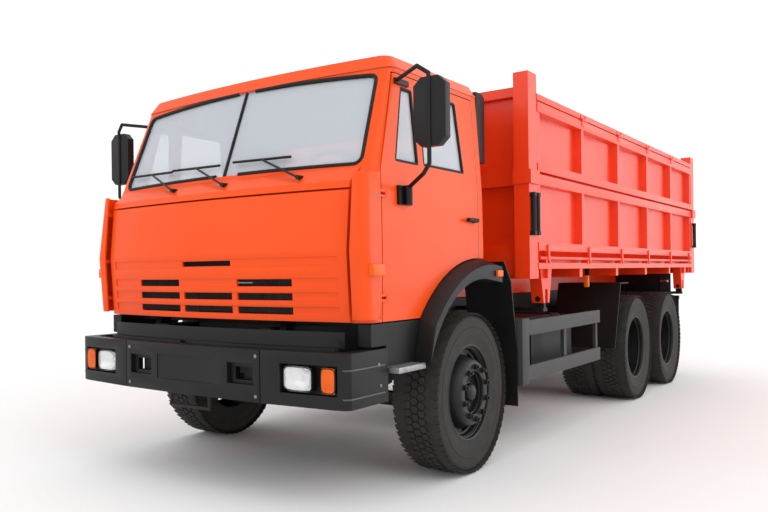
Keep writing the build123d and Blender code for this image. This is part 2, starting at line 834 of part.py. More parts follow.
door_bottom = cab_bottom
door_top = 2462
sill_arc = [(-540, cab_bottom), (-222, 1270), (360, 1385)]
quarter_light = [(-795, 1945), (-530, 1945), (-550, 2385), (-675, 2385)]
drop_light = [(-455, 1950), (90, 1950), (30, 2400), (-455, 2400)]


def cab_outline(z, half_width, y_front, bow, y_rear, corner):
    """Closed outline of the cab at one height: straight sides and back, bowed front."""
    k = corner * (1 - math.sqrt(0.5))
    x = half_width
    y = y_front
    c = corner
    edges = [
        Line((x, y_rear, z), (-x, y_rear, z)),
        Line((-x, y_rear, z), (-x, y + c, z)),
        ThreePointArc((-x, y + c, z), (-x + k, y + k, z), (-x + c, y, z)),
        ThreePointArc((-x + c, y, z), (0, y - bow, z), (x - c, y, z)),
        ThreePointArc((x - c, y, z), (x - k, y + k, z), (x, y + c, z)),
        Line((x, y + c, z), (x, y_rear, z)),
    ]
    return make_face(edges)


def cab_body(inset, sections, drop=0):
    """Solid through the given sections, drawn in by inset on every side."""
    faces = []
    for z, half_width, y_front, bow in sections:
        faces.append(
            cab_outline(z - drop, half_width - inset, y_front + inset, bow, cab_rear_y - inset,
                        cab_corner - inset * 0.5)
        )
    return loft(faces, ruled=True)


def cab_skin(outer_inset, inner_inset):
    """Wall between two insets of the cab's lower body."""
    return cab_body(outer_inset, cab_sections) - cab_body(inner_inset, cab_sections)


def sill_prism(x0, x1, drop):
    """Everything below the arched sill line at the side of the cab."""
    (y0, z0), (ym, zm), (y1, z1) = sill_arc
    y_front = cab_nose_y - 200
    edges = [
        Line((x0, y_front, z0 - drop), (x0, y0, z0 - drop)),
        ThreePointArc((x0, y0, z0 - drop), (x0, ym, zm - drop), (x0, y1, z1 - drop)),
        Line((x0, y1, z1 - drop), (x0, cab_rear_y + 50, z1 - drop)),
        Line((x0, cab_rear_y + 50, z1 - drop), (x0, cab_rear_y + 50, 500)),
        Line((x0, cab_rear_y + 50, 500), (x0, y_front, 500)),
        Line((x0, y_front, 500), (x0, y_front, z0 - drop)),
    ]
    return extrude(make_face(edges), amount=x1 - x0, dir=(1, 0, 0))


def door_prism(grow):
    """Outline of the left door, grown by a gap, drawn through the cab's side."""
    g = grow
    points = [
        (door_front_low - g, door_bottom - 100),
        (door_rear_y + g, door_bottom - 100),
        (door_rear_y + g, door_top + g),
        (door_front_top - g, door_top + g),
        (door_front_low - g, belt_z),
    ]
    return prism_x(points, door_inner_x, cab_half_width + 100)


door_inner_x = 990


def cowl():
    """Sloping ledge between the front panel's top edge and the windscreen."""
    faces = [bowed_face(z, y, front_panel_half, bow, depth) for z, y, bow, depth in cowl_rows]
    return loft(faces, ruled=True)


def windscreen_face(inset):
    """Windscreen outline with rounded corners, drawn in by inset, upright ahead of the cab."""
    (a, low, low_crown), (b, high, high_crown) = windscreen
    y = windscreen_draw_y
    a -= inset
    b -= inset
    low += inset
    high -= inset
    face = make_face([
        ThreePointArc((-a, y, low), (0, y, low + low_crown), (a, y, low)),
        Line((a, y, low), (b, y, high)),
        ThreePointArc((b, y, high), (0, y, high + high_crown), (-b, y, high)),
        Line((-b, y, high), (-a, y, low)),
    ])
    return fillet(face.vertices(), windscreen_corner - inset)


def windscreen_prism(inset):
    """The windscreen outline drawn back through the cab's front."""
    return extrude(windscreen_face(inset), amount=750, dir=(0, 1, 0))


def cab_shell():
    """Welded cab: walls, roof, floor, footwells, door openings and window openings."""
    lower = cab_body(0, cab_sections)
    roof = cab_body(0, roof_sections)
    hollow = cab_body(cab_wall, cab_sections)
    roof_hollow = cab_body(cab_wall, roof_sections[:3], cab_wall)
    inside = hollow - block(-2000, 2000, -2000, 2000, 0, cab_floor_z)
    foot_y0 = cab_nose_y + cab_wall
    foot_y1 = footwell_rear - cab_wall
    foot_x0 = tunnel_half_width + cab_wall
    shell = lower + roof - inside - roof_hollow
    for side in (-1, 1):
        lo, hi = sorted((side * foot_x0, side * (cab_half_width - cab_wall - 10)))
        shell -= block(lo, hi, foot_y0, foot_y1, cab_bottom + cab_wall, cab_floor_z + 1)
    # open underside: wheel arches behind the footwells and the engine bay between them
    shell -= block(-2000, 2000, footwell_rear, cab_rear_y + 100, 0, cab_underside)
    shell -= block(-tunnel_half_width, tunnel_half_width, -2000, footwell_rear + 1, 0, cab_underside)
    shell += cowl()
    # side skirts follow the wheel arch
    for side in (-1, 1):
        lo, hi = sorted((side * (cab_half_width - cab_wall), side * cab_half_width))
        skirt_y = cab_rear_y - 5
        skirt = block(lo + 5, hi - 5, footwell_rear - 5, skirt_y, cab_bottom, cab_underside + 20)
        shell += skirt
        lo, hi = sorted((side * (cab_half_width - 200), side * (cab_half_width + 100)))
        shell -= sill_prism(lo, hi, 0)
    opening = door_prism(panel_gap)
    shell -= opening
    shell -= mirrored(opening)
    shell -= windscreen_prism(0)
    rear_cut = block(-620, 620, cab_rear_y - 120, cab_rear_y + 50, 1960, 2330)
    shell -= rear_cut
    for side in (-1, 1):
        lug_x = side * cab_pivot_x
        lug = prism_x(
            [
                (cab_pivot_y - 30, cab_pivot_z - 35),
                (cab_pivot_y + 30, cab_pivot_z - 35),
                (cab_pivot_y + 95, cab_bottom - 20),
                (cab_pivot_y + 95, cab_bottom + 5),
                (cab_pivot_y + 25, cab_bottom + 5),
                (cab_pivot_y - 30, cab_pivot_z + 5),
            ],
            lug_x - cab_lug / 2,
            lug_x + cab_lug / 2,
        )
        pin = rod_x(lug_x - cab_lug / 2 - clearance - 12, lug_x + cab_lug / 2 + clearance + 12, cab_pivot_y,
                    cab_pivot_z, cab_pivot_radius)
        shell += lug
        shell += pin
        for z in door_hinge_zs:
            shell += door_hinge_fixed(side, z)
        for x in panel_hinge_xs:
            shell += panel_hinge_fixed(x)
    return shell


footwell_rear = -600
tunnel_half_width = 420
front_panel_half = 992
panel_top = 1758
panel_mid_z = 1422
panel_bottom = 1030
panel_thickness = 25
panel_bow = 82
panel_lines = [
    # height, y of the outer face at the panel's ends
    (panel_bottom, -1160),
    (panel_mid_z, -1186),
    (panel_top, -1152),
]
cowl_rows = [
    # height, y of the face at the ends, bow, depth into the cab's nose
    (panel_top + 12, -1150, 80, 60),
    (1810, -1136, 77, 75),
    (belt_z + 14, -1036, 65, 35),
]
windscreen_draw_y = -1400
panel_hinge_xs = (-250, 250)
panel_skin = 5
hinge_pin = 5
hinge_barrel = 8
hinge_play = 0.3
panel_axis_y = -1217
panel_axis_z = panel_top - 22
slot_rows = [
    # height of the middle, height of the slots, and which of the three slots the row has
    (1367, 32, ("middle",)),
    (1249, 42, ("right", "left")),
    (1168, 42, ("right", "middle", "left")),
    (1087, 42, ("right", "middle", "left")),
]
slot_spans = {"right": (-640, -245), "middle": (-205, 205), "left": (245, 640)}
band_half_width = 935
band_half_height = 26
band_depth = 7
door_hinge_zs = (1160, 1740)
door_axis_x = 1100
door_axis_y = -950


def door_hinge_fixed(side, z):
    """Two lobes and the pin that stand on the cab's front pillar."""
    pieces = []
    reach = hinge_barrel + hinge_play
    for low in (z - reach - 12, z + reach):
        arm_y = door_axis_y - 66
        pillar_y = door_front_low - panel_gap - 4
        pieces.append(block(cab_half_width - 22, door_axis_x, arm_y, pillar_y, low, low + 12))
        pieces.append(block(door_axis_x - hinge_barrel, door_axis_x + 4, arm_y, door_axis_y, low, low + 12))
        pieces.append(rod_z(door_axis_x, door_axis_y, low, low + 12, hinge_barrel))
    pieces.append(rod_z(door_axis_x, door_axis_y, z - reach - 12, z + reach + 12, hinge_pin))
    hinge = join(pieces)
    return hinge if side > 0 else mirrored(hinge)


def door_hinge_moving(z):
    """Barrel and arm that carry the left door on the pillar's pin."""
    low = z - hinge_barrel
    high = z + hinge_barrel
    arm = block(cab_half_width - 25, door_axis_x, door_axis_y, door_axis_y + 40, low, high)
    barrel = rod_z(door_axis_x, door_axis_y, low, high, hinge_barrel)
    return arm + barrel - rod_z(door_axis_x, door_axis_y, low - 1, high + 1, hinge_pin + pin_clearance)


def panel_hinge_fixed(x):
    """Two arms from the cab's nose with a pin between them, on which the front panel hangs."""
    reach = hinge_barrel + hinge_play
    root_y = cab_front(x, panel_axis_z) + 10
    low_z = panel_axis_z - hinge_barrel + 1
    high_z = panel_axis_z + hinge_barrel - 1
    pieces = []
    for low in (x - reach - 12, x + reach):
        pieces.append(rod_x(low, low + 12, panel_axis_y, panel_axis_z, hinge_barrel))
        pieces.append(block(low, low + 12, panel_axis_y, root_y, low_z, high_z))
    pieces.append(rod_x(x - reach - 12, x + reach + 12, panel_axis_y, panel_axis_z, hinge_pin))
    return join(pieces)


def panel_strip(z, half, proud, depth):
    """Strip outline that follows the front panel's face at one height, out to a half width."""
    share = (half / front_panel_half) ** 2
    y = panel_y(z) - panel_bow * (1 - share) - proud
    return bowed_face(z, y, half, panel_bow * share, depth)


def panel_y(z):
    """Y of the panel's outer face at a height, at the panel's ends."""
    for (z0, y0), (z1, y1) in zip(panel_lines, panel_lines[1:]):
        if z <= z1:
            return y0 + (y1 - y0) * (z - z0) / (z1 - z0)
    return panel_lines[-1][1]


def front_panel():
    """Lifting front panel: slots in pressed bands below the fold, plain above it."""
    panel = loft([panel_strip(z, front_panel_half, 0, panel_thickness) for z, _ in panel_lines], ruled=True)
    for z, height, names in slot_rows:
        band = [panel_strip(at, band_half_width, 5, 5 + band_depth)
                for at in (z - band_half_height, z + band_half_height)]
        panel -= loft(band, ruled=True)
        for name in names:
            x0, x1 = slot_spans[name]
            panel -= block(x0, x1, -1400, -1100, z - height / 2, z + height / 2)
    reach = hinge_barrel + hinge_play + 12
    for x in panel_hinge_xs:
        skin_y = panel_y(panel_axis_z) - panel_bow * (1 - (x / front_panel_half) ** 2) + panel_skin
        panel -= block(x - reach - 6, x + reach + 6, skin_y, skin_y + 60, panel_axis_z - 24, panel_top + 1)
        barrel = rod_x(x - hinge_barrel, x + hinge_barrel, panel_axis_y, panel_axis_z, hinge_barrel)
        barrel += block(x - hinge_barrel, x + hinge_barrel, skin_y - 2, panel_axis_y,
                        panel_axis_z - hinge_barrel + 1, panel_axis_z + hinge_barrel - 1)
        barrel -= rod_x(x - 50, x + 50, panel_axis_y, panel_axis_z, hinge_pin + pin_clearance)
        panel += barrel
    return panel


deflector_rows = [
    # height, y of the front edge, x of the side face behind the rounded corner
    (1045, -1186, 1118),
    (panel_mid_z, -1210, 1128),
    (1850, -1170, 1100),
]
deflector_front_x = front_panel_half + 34
deflector_rear_x = 1110
deflector_rear_y = -1018
deflector_corner = 62
deflector_wall = 12
deflector_stay_zs = (1140, 1400, 1730)
deflector_foot_zs = (1152, 1700)


def cab_x(z):
    """Half width of the cab's outer face at a height."""
    for (z0, x0, _, _), (z1, x1, _, _) in zip(cab_sections, cab_sections[1:]):
        if z <= z1:
            return x0 + (x1 - x0) * (z - z0) / (z1 - z0)
    return cab_sections[-1][1]


def cab_front(x, z):
    """Y of the cab's bowed front face at a place across and a height."""
    for (z0, w0, y0, b0), (z1, w1, y1, b1) in zip(cab_sections, cab_sections[1:]):
        if z <= z1:
            share = (z - z0) / (z1 - z0)
            flat = y0 + (y1 - y0) * share
            bow = b0 + (b1 - b0) * share
            half = w0 + (w1 - w0) * share - cab_corner
            return flat - bow * (1 - (x / half) ** 2)
    return cab_sections[-1][2]


def deflector_edge(z, y_front, x_side, inset):
    """Front edge, corner and side of a deflector at one height, drawn in by inset."""
    r = deflector_corner - inset
    x_mid = x_side - deflector_corner
    y_mid = y_front + deflector_corner
    k = r * math.sqrt(0.5)
    start = (deflector_front_x, y_mid - r, z)
    bend = (x_mid, y_mid - r, z)
    turned = (x_mid + r, y_mid, z)
    end = (deflector_rear_x - inset, deflector_rear_y, z)
    return [Line(start, bend), ThreePointArc(bend, (x_mid + k, y_mid - k, z), turned), Line(turned, end)]


def deflectors():
    """Curved corner deflectors that stand off the cab's front corners on small brackets."""
    faces = []
    for z, y_front, x_side in deflector_rows:
        outer = deflector_edge(z, y_front, x_side, 0)
        inner = deflector_edge(z, y_front, x_side, deflector_wall)
        ends = [Line(outer[0] @ 0, inner[0] @ 0), Line(outer[2] @ 1, inner[2] @ 1)]
        faces.append(make_face(outer + inner + ends))
    skin = loft(faces, ruled=True)
    behind = deflector_fill()
    nose = cab_body(0, cab_sections)
    for z in deflector_stay_zs:
        x0 = deflector_front_x + 4
        stay = block(x0, x0 + 30, -1300, cab_nose_y + 20, z - 12, z + 12)
        skin += (behind & stay) - nose
    for z in deflector_foot_zs:
        foot_y = deflector_rear_y - 30
        foot = block(cab_half_width - 30, deflector_rear_x + 5, foot_y, foot_y + 22, z - 14, z + 14)
        skin += (behind & foot) - nose
    return pair(skin)


def deflector_fill():
    """Solid between a deflector's outer face and the cab, for what seats on either."""
    faces = []
    inner_x = deflector_front_x - 60
    for z, y_front, x_side in deflector_rows:
        outer = deflector_edge(z, y_front, x_side, 0)
        corner = (inner_x, deflector_rear_y, z)
        front = (inner_x, y_front, z)
        back = [Line(outer[2] @ 1, corner), Line(corner, front), Line(front, outer[0] @ 0)]
        faces.append(make_face(outer + back))
    return loft(faces, ruled=True)


def glazing():
    """Windscreen in two panes and the rear window, seated in the cab's openings."""
    skin = cab_skin(glass_inset, glass_inset + glass_thickness)
    panes = []
    g = seal_gap
    both = skin & windscreen_prism(g)
    for side in (-1, 1):
        lo, hi = sorted((side * 6, side * cab_half_width))
        panes.append(both & block(lo, hi, windscreen_draw_y, -650, belt_z, roof_edge_z))
    panes.append(block(-620 + g, 620 - g, cab_rear_y - 25, cab_rear_y - 19, 1960 + g, 2330 - g))
    return group(panes)


arch_lip = [(-612, 758), (-285, 1132), (200, 1247)]
arch_end_z = 1222
arch_stays = [(-500, 1040), (-222, 1270), (250, 1365)]


def arch_band(x, drop):
    """Outline of the arch moulding at one distance out; drop lowers its upper edge."""
    (y0, z0), (ym, zm), (y1, z1) = sill_arc
    (a0, b0), (am, bm), (a1, b1) = arch_lip
    return make_face([
        ThreePointArc((x, y0, z0 - drop), (x, ym, zm - drop), (x, y1, z1 - drop)),
        Line((x, y1, z1 - drop), (x, arch_rear_y, z1 - drop - 10)),
        Line((x, arch_rear_y, z1 - drop - 10), (x, arch_rear_y, arch_end_z)),
        Line((x, arch_rear_y, arch_end_z), (x, a1, b1)),
        ThreePointArc((x, a1, b1), (x, am, bm), (x, a0, b0)),
        Line((x, a0, b0), (x, y0, z0 - drop)),
    ])


def wheel_arches():
    """Black arch mouldings below the sill line, bevelled outward to the lip, on short stays."""
    inner = arch_band(cab_half_width - 70, lip_gap)
    middle = arch_band(cab_half_width + 2, lip_gap)
    outer = arch_band(arch_outer_x, lip_gap + 38)
    arch = loft([inner, middle, outer], ruled=True)
    below_sill = sill_prism(cab_half_width - 100, cab_half_width, 0)
    for y, z in arch_stays:
        stay = block(cab_half_width - 38, cab_half_width - 15, y - 20, y + 20, z - 50, z + 50)
        arch += stay & below_sill
    return pair(arch)


step_front = bumper_side_end + 15


def cab_steps():
    """Step wells under the doors, over the bumper's ends, with a chequered tread on each."""
    gap = 8
    over_bumper = bumper_top + 13
    well = prism_x(
        [
            (-1090, cab_bottom - gap),
            (-548, cab_bottom - gap),
            (-620, 760),
            (-640, 720),
            (step_front + 40, 735),
            (step_front, 775),
            (step_front, over_bumper),
            (-1090, over_bumper),
        ],
        cab_half_width - 90,
        cab_half_width - 6,
    )
    stay = block(cab_half_width - 90, cab_half_width - 50, -1040, -640, cab_bottom - gap - 5, cab_bottom)
    tread = block(cab_half_width - 150, cab_half_width + 72, step_front + 5, -628, 742, 768)
    return pair(join([well, stay, tread]))


def marker_lamps():
    """Amber side lamps on the deflectors and on the arches."""
    front = block(cab_half_width + 10, cab_half_width + 62, -1165, -1045, 1284, 1348) - deflector_fill()
    arch = block(arch_outer_x, arch_outer_x + 18, 330, 420, 1262, 1305)
    return group([pair(front), pair(arch)])


wiper_xs = (-370, 86, 647)
wiper_z = 1853


def cowl_front(x, z):
    """Y of the ledge's bowed face at a place across and a height."""
    for (z0, y0, b0, _), (z1, y1, b1, _) in zip(cowl_rows, cowl_rows[1:]):
        if z <= z1:
            share = (z - z0) / (z1 - z0)
            return y0 + (y1 - y0) * share - (b0 + (b1 - b0) * share) * (1 - (x / front_panel_half) ** 2)
    return cowl_rows[-1][1]


def wipers():
    """Three wipers: pivot on the ledge, arm, and a blade that lies low on the windscreen."""
    pieces = []
    for x in wiper_xs:
        y = cowl_front(x, wiper_z)
        pivot = rod_y(x, y - 40, y + 15, wiper_z, 13)
        tip_x = x - 345
        tip_z = wiper_z + 147
        arm = rod_between((x, y - 33, wiper_z), (tip_x, cab_front(tip_x, tip_z) - 24, tip_z), 7)
        blade_ends = [
            (end_x, cab_front(end_x, tip_z) - 18, end_z)
            for end_x, end_z in ((x - 575, tip_z + 4), (x - 130, tip_z - 4))
        ]
        blade = rod_between(*blade_ends, 8)
        pieces.append(join([pivot, arm, blade]) - cowl())
    return group(pieces)


def snorkel():
    """Air intake duct standing behind the cab's left rear corner."""
    duct = prism_x([(cab_rear_y + 18, 2060), (cab_rear_y + 160, 2060), (cab_rear_y + 160, 2520),
                    (cab_rear_y + 120, 2545), (cab_rear_y + 18, 2545)], 880, 1040)
    stay_low = block(930, 990, cab_rear_y, cab_rear_y + 20, 2120, 2160)
    stay_high = block(930, 990, cab_rear_y, cab_rear_y + 20, 2380, 2420)
    pipe = rod_z(960, cab_rear_y + 90, 1500, 2062, 60)
    return join([duct, stay_low, stay_high, pipe])


seat_places = [
    # x of the seat's middle, width
    (560, 500),
    (-560, 500),
    (0, 360),
]


def seats():
    """Seat cushions and backs on plain pedestals."""
    pieces = []
    for x, width in seat_places:
        w = width / 2
        base = block(x - w + 60, x + w - 60, -330, 130, cab_floor_z, 1480)
        cushion = block(x - w, x + w, -380, 150, 1480, 1620)
        back = prism_x([(110, 1600), (210, 1600), (290, 2200), (200, 2200)], x - w + 10, x + w - 10)
        pieces.append(join([base, cushion, back]))
    return group(pieces)


column_foot = (560, -760, 1640)
column_end = (560, -560, 1900)
boss_height = 40


def dashboard():
    """Instrument panel across the cab, with the steering column."""
    board = prism_x([(-1000, 1560), (-1000, 1850), (-830, 1880), (-700, 1800), (-740, 1560)], -980, 980)
    column = rod_between(column_foot, column_end, 26)
    pedestal = block(-tunnel_half_width, tunnel_half_width, -1000, -760, cab_floor_z, 1570)
    return join([board, column, pedestal])


def steering_wheel():
    """Rim, spokes and boss on the column's end."""
    ring = Torus(225, 16)
    boss = Cylinder(45, boss_height)
    wheel = ring + boss
    for n in range(3):
        wheel += Rot(0, 0, 120 * n + 90) * Pos(125, 0, 0) * Box(220, 34, 14)
    along = (Vector(*column_end) - Vector(*column_foot)).normalized()
    tilt = Plane(origin=Vector(*column_end) + along * (boss_height / 2), z_dir=along)
    return tilt * wheel


# ---- doors --------------------------------------------------------------------------------
def door_panel():
    """Whole left door: curved skin as thick as the door, with its two window openings."""
    door = cab_skin(0, cab_wall) & door_prism(0)
    door -= sill_prism(door_inner_x, cab_half_width + 100, 0)
    for outline in (quarter_light, drop_light):
        door -= prism_x(outline, door_inner_x, cab_half_width + 100)
    for z in door_hinge_zs:
        door += door_hinge_moving(z)
    return door


def door_glass():
    """Quarter light and drop glass."""
    skin = cab_skin(glass_inset, glass_inset + glass_thickness)
    panes = []
    for outline in (quarter_light, drop_light):
        middle_y = sum(y for y, z in outline) / len(outline)
        middle_z = sum(z for y, z in outline) / len(outline)
        inset = [
            (y + math.copysign(seal_gap, middle_y - y), z + math.copysign(seal_gap, middle_z - z))
            for y, z in outline
        ]
        panes.append(skin & prism_x(inset, door_inner_x, cab_half_width + 100))
    return group(panes)


mirror_x = 1310
mirror_y = -830
mirror_width = 195
mirror_height = 385
mirror_mid_z = 2190
arm_radius = 12
handle_y = 130
handle_z = 1640


def door_fittings():
    """Mirror on its bent tube with two brackets, and the door handle."""
    tube_x = mirror_x
    route = [
        (cab_top_half_width + 12, -735, 2415),
        (tube_x - 60, mirror_y - 20, 2445),
        (tube_x, mirror_y, 2400),
        (tube_x, mirror_y, 1900),
        (tube_x - 40, mirror_y + 10, 1850),
        (cab_half_width + 35, -735, 1785),
    ]
    pieces = []
    for start, end in zip(route, route[1:]):
        pieces.append(rod_between(start, end, arm_radius))
    for point in route[1:-1]:
        pieces.append(Pos(*point) * Sphere(arm_radius))
    pieces.append(block(cab_top_half_width - 2, cab_top_half_width + 22, -750, -600, 2400, 2432))
    pieces.append(block(cab_half_width - 9, cab_half_width + 14, -800, -650, 1690, 1800))
    pieces.append(rod_z(cab_half_width + 35, -735, 1690, 1800, 24))
    half = mirror_width / 2
    low = mirror_mid_z - mirror_height / 2
    high = mirror_mid_z + mirror_height / 2
    c = 45
    outline = [
        (mirror_x - half + c, low), (mirror_x + half - c, low), (mirror_x + half, low + c),
        (mirror_x + half, high - c), (mirror_x + half - c, high), (mirror_x - half + c, high),
        (mirror_x - half, high - c), (mirror_x - half, low + c),
    ]
    pieces.append(prism_y(outline, mirror_y + 4, mirror_y + 62))
    mirror_set = join(pieces) - cab_body(-0.2, cab_sections)
    low_z = handle_z - 16
    handle = block(cab_x(low_z), cab_half_width + 16, handle_y + 60, handle_y + 95, low_z, handle_z + 16)
    handle += rod_y(cab_half_width + 24, handle_y - 50, handle_y + 95, handle_z, 13)
    return group([mirror_set, handle])


# ---- bed ----------------------------------------------------------------------------------
bed_inner_x = bed_half_width - board_depth
edge_rail_bottom = 1311
edge_rail_top = 1356
beam_bottom = subframe_top + clearance
hinge_rod_x = bed_half_width - 5
hinge_rod_z = 1392
hinge_rod_radius = 13
lug_width = 32
lug_margin = 180
bay_count = 5
rib_width = 60
rail_tube = 75
lower_board_bottom = 1445
upper_board_bottom = lower_board_top + board_gap
top_rail_bottom = upper_board_top - 46
upper_hinge_z = top_rail_bottom - 5
upper_hinge_x = bed_half_width + 10
leg_y_front = 1270
leg_y_rear = bed_rear_y - 250
leg_width = 90
wall_thickness = 60
mid_rail_bottom = 1915
spring_radius = 18
cylinder_y = (leg_y_front + leg_y_rear) / 2 - 700


def bay_ys():
    """Y of the ribs that split a side board into equal bays, ends included."""
    step = bed_length / bay_count
    return [bed_front_y + step * n for n in range(bay_count + 1)]


def lug_ys():
    """Y of the hinge lugs of a lower board."""
    step = (bed_length - 2 * lug_margin) / bay_count
    return [bed_front_y + lug_margin + step * n for n in range(bay_count + 1)]


def bed_floor():
    """Floor plate on cross beams, edge rails, long beams, pivot legs and the board hinge rods."""
    y0 = bed_front_y
    y1 = bed_rear_y
    edge = bed_half_width
    plate = block(-bed_inner_x + 4, bed_inner_x - 4, y0 + 3, y1 - 3, bed_floor_z - floor_plate, bed_floor_z)
    pieces = [plate]
    for side in (-1, 1):
        lo, hi = sorted((side * (edge - 60), side * edge))
        pieces.append(block(lo, hi, y0, y1, edge_rail_bottom, edge_rail_top))
        lo, hi = sorted((side * (bed_inner_x - 40), side * (bed_inner_x - 5)))
        pieces.append(block(lo, hi, y0 + 3, y1 - 3, edge_rail_bottom, bed_floor_z - floor_plate))
        lo, hi = sorted((side * (rail_x - 35), side * (rail_x + 35)))
        pieces.append(block(lo, hi, y0 + 40, y1 - 40, beam_bottom, 1250))
        rod_side = side * hinge_rod_x
        pieces.append(rod_y(rod_side, y0 + 20, y1 - 10, hinge_rod_z, hinge_rod_radius))
        for y in lug_ys():
            for offset in (-lug_width / 2 - clearance - 22, lug_width / 2 + clearance):
                lo, hi = sorted((side * (edge - 50), side * (hinge_rod_x + 12)))
                pieces.append(block(lo, hi, y + offset, y + offset + 22, edge_rail_top - 5, hinge_rod_z + 14))
        for y in (leg_y_front, leg_y_rear):
            x = side * pivot_x
            leg = prism_x(
                [(y - 125, edge_rail_bottom + 10), (y - 60, pivot_z - 30), (y + 60, pivot_z - 30),
                 (y + 125, edge_rail_bottom + 10)],
                x - leg_width / 2,
                x + leg_width / 2,
            )
            leg -= block(x - 50, x + 50, y - 26, y + 26, pivot_z - 60, pivot_z + 75)
            leg -= rod_y(x, y - 200, y + 200, pivot_z, pivot_pin_radius + pin_clearance)
            if side < 0:
                lift_gap = pivot_pin_radius + 3
                leg -= block(x - lift_gap, x + lift_gap, y - 200, y + 200, pivot_z - 60, pivot_z)
                leg -= rod_y(x, y - 200, y + 200, pivot_z, lift_gap)
            pieces.append(leg)
    for y in bay_ys()[1:-1] + [y0 + 40, leg_y_front, leg_y_rear, y1 - 40]:
        pieces.append(block(-edge + 30, edge - 30, y - 35, y + 35, 1240, edge_rail_bottom + 40))
        half = bed_inner_x - 10
        pieces.append(block(-half, half, y - 35, y + 35, edge_rail_bottom, bed_floor_z - floor_plate))
    return join(pieces)


def side_board(low, high, lugs):
    """Left side board: inner skin, top and bottom rails and upright ribs on its outside."""
    skin_x0 = bed_inner_x
    skin_x1 = bed_inner_x + board_skin
    outer = bed_half_width
    y0 = bed_front_y + 5
    y1 = bed_rear_y - 5
    board = [block(skin_x0, skin_x1, y0, y1, low, high)]
    board.append(block(skin_x1, outer, y0, y1, high - rail_tube, high))
    board.append(block(skin_x1, outer, y0, y1, low, low + rail_tube * 0.85))
    ribs = bay_ys()
    for y in ribs:
        r0 = min(max(y - rib_width / 2, y0), y1 - rib_width)
        board.append(block(skin_x1, outer - 8, r0, r0 + rib_width, low, high))
    if lugs:
        for y in lug_ys():
            lug = prism_y(
                [
                    (outer - 40, low + 5),
                    (outer + 14, low + 50),
                    (outer + 14, hinge_rod_z - 18),
                    (hinge_rod_x - 20, hinge_rod_z - 18),
                ],
                y - lug_width / 2,
                y + lug_width / 2,
            )
            bore = hinge_rod_radius + pin_clearance
            lug -= rod_y(hinge_rod_x, y - lug_width, y + lug_width, hinge_rod_z, bore)
            board.append(lug)
    return join(board)


leaf_half = 40


def upper_hinge_ys():
    return bay_ys()[1:-1]


def upper_hinge_fixed(y):
    """Two outer barrels and the pin on the top rail's face."""
    pieces = []
    for low in (y - leaf_half - hinge_play - 30, y + leaf_half + hinge_play):
        face_x = bed_half_width - 2
        pieces.append(block(face_x, face_x + 8, low, low + 30, upper_hinge_z, upper_board_top - 12))
        pieces.append(rod_y(upper_hinge_x, low, low + 30, upper_hinge_z, 10))
    end = leaf_half + hinge_play + 30
    pieces.append(rod_y(upper_hinge_x, y - end, y + end, upper_hinge_z, hinge_pin))
    return pieces


def upper_hinge_moving(y):
    """Middle barrel and leaf on the upper board's face."""
    leaf = block(bed_half_width - 2, bed_half_width + 6, y - leaf_half, y + leaf_half,
                 upper_hinge_z - 50, upper_hinge_z)
    leaf += rod_y(upper_hinge_x, y - leaf_half, y + leaf_half, upper_hinge_z, 10)
    reach = 2 * leaf_half
    return leaf - rod_y(upper_hinge_x, y - reach, y + reach, upper_hinge_z, hinge_pin + pin_clearance)


def upper_board():
    board = side_board(upper_board_bottom, upper_hinge_z - 5, False)
    for y in upper_hinge_ys():
        board += upper_hinge_moving(y)
    return board


def end_wall(front):
    """Front or rear wall: sheet with posts and rails, posts at both sides, spring struts' lugs."""
    sign = -1 if front else 1
    face = bed_front_y if front else bed_rear_y
    def ys(a, b):
        return tuple(sorted((face + sign * a, face + sign * b)))
    inner = bed_inner_x
    y0, y1 = ys(0, board_skin)
    top = upper_board_top + (60 if front else 40)
    sheet = block(-inner, inner, y0, y1, beam_bottom + 200, top - 5)
    pieces = [sheet]
    y0, y1 = ys(board_skin, wall_thickness)
    for low, high in ((top - 70, top), (mid_rail_bottom + 15, lower_board_top + 20), (1450, 1500)):
        pieces.append(block(-bed_half_width + post_width, bed_half_width - post_width, y0, y1, low, high))
    for x in (-780, -260, 260, 780):
        pieces.append(block(x - 40, x + 40, y0, y1, 1290, top))
    y0, y1 = ys(0, 110)
    pieces.append(block(-bed_half_width + 40, bed_half_width - 40, y0, y1, 1262, 1450))
    post_high = post_top if front else upper_board_top + 90
    for side in (-1, 1):
        outer = side * (bed_half_width - 5)
        inner_post = side * (bed_half_width - post_width - 5)
        lo, hi = sorted((outer, inner_post))
        y0, y1 = ys(0, post_depth)
        pieces.append(block(lo, hi, y0, y1, 1240, post_high))
        lo, hi = sorted((side * (bed_half_width - post_width - 10), side * (bed_half_width + 14)))
        y0, y1 = ys(0, post_depth + mid_rail_proud)
        pieces.append(block(lo, hi, y0, y1, mid_rail_bottom + 15, lower_board_top + 20))
    return join(pieces)


def top_rails():
    """Fixed rails between the posts, from which the upper boards hang."""
    rail = block(bed_inner_x, bed_half_width, bed_front_y, bed_rear_y, top_rail_bottom, upper_board_top)
    pieces = [rail]
    for y in upper_hinge_ys():
        pieces += upper_hinge_fixed(y)
    return pair(join(pieces))


def board_springs():
    """Gas struts beside the posts that ease the lower boards' weight."""
    pieces = []
    x = bed_half_width - 5 + spring_radius + 4
    for y in (bed_front_y - 135, bed_front_y - 60):
        pieces.append(rod_z(x, y, 1580, 1840, spring_radius))
        for z in (1570, 1850):
            pieces.append(block(bed_half_width - 5, x + 16, y - 22, y + 22, z - 14, z + 14))
    y = bed_rear_y + 80
    pieces.append(rod_z(x, y, 1580, 1840, spring_radius))
    for z in (1570, 1850):
        pieces.append(block(bed_half_width - 5, x + 16, y - 22, y + 22, z - 14, z + 14))
    return pair(join(pieces))


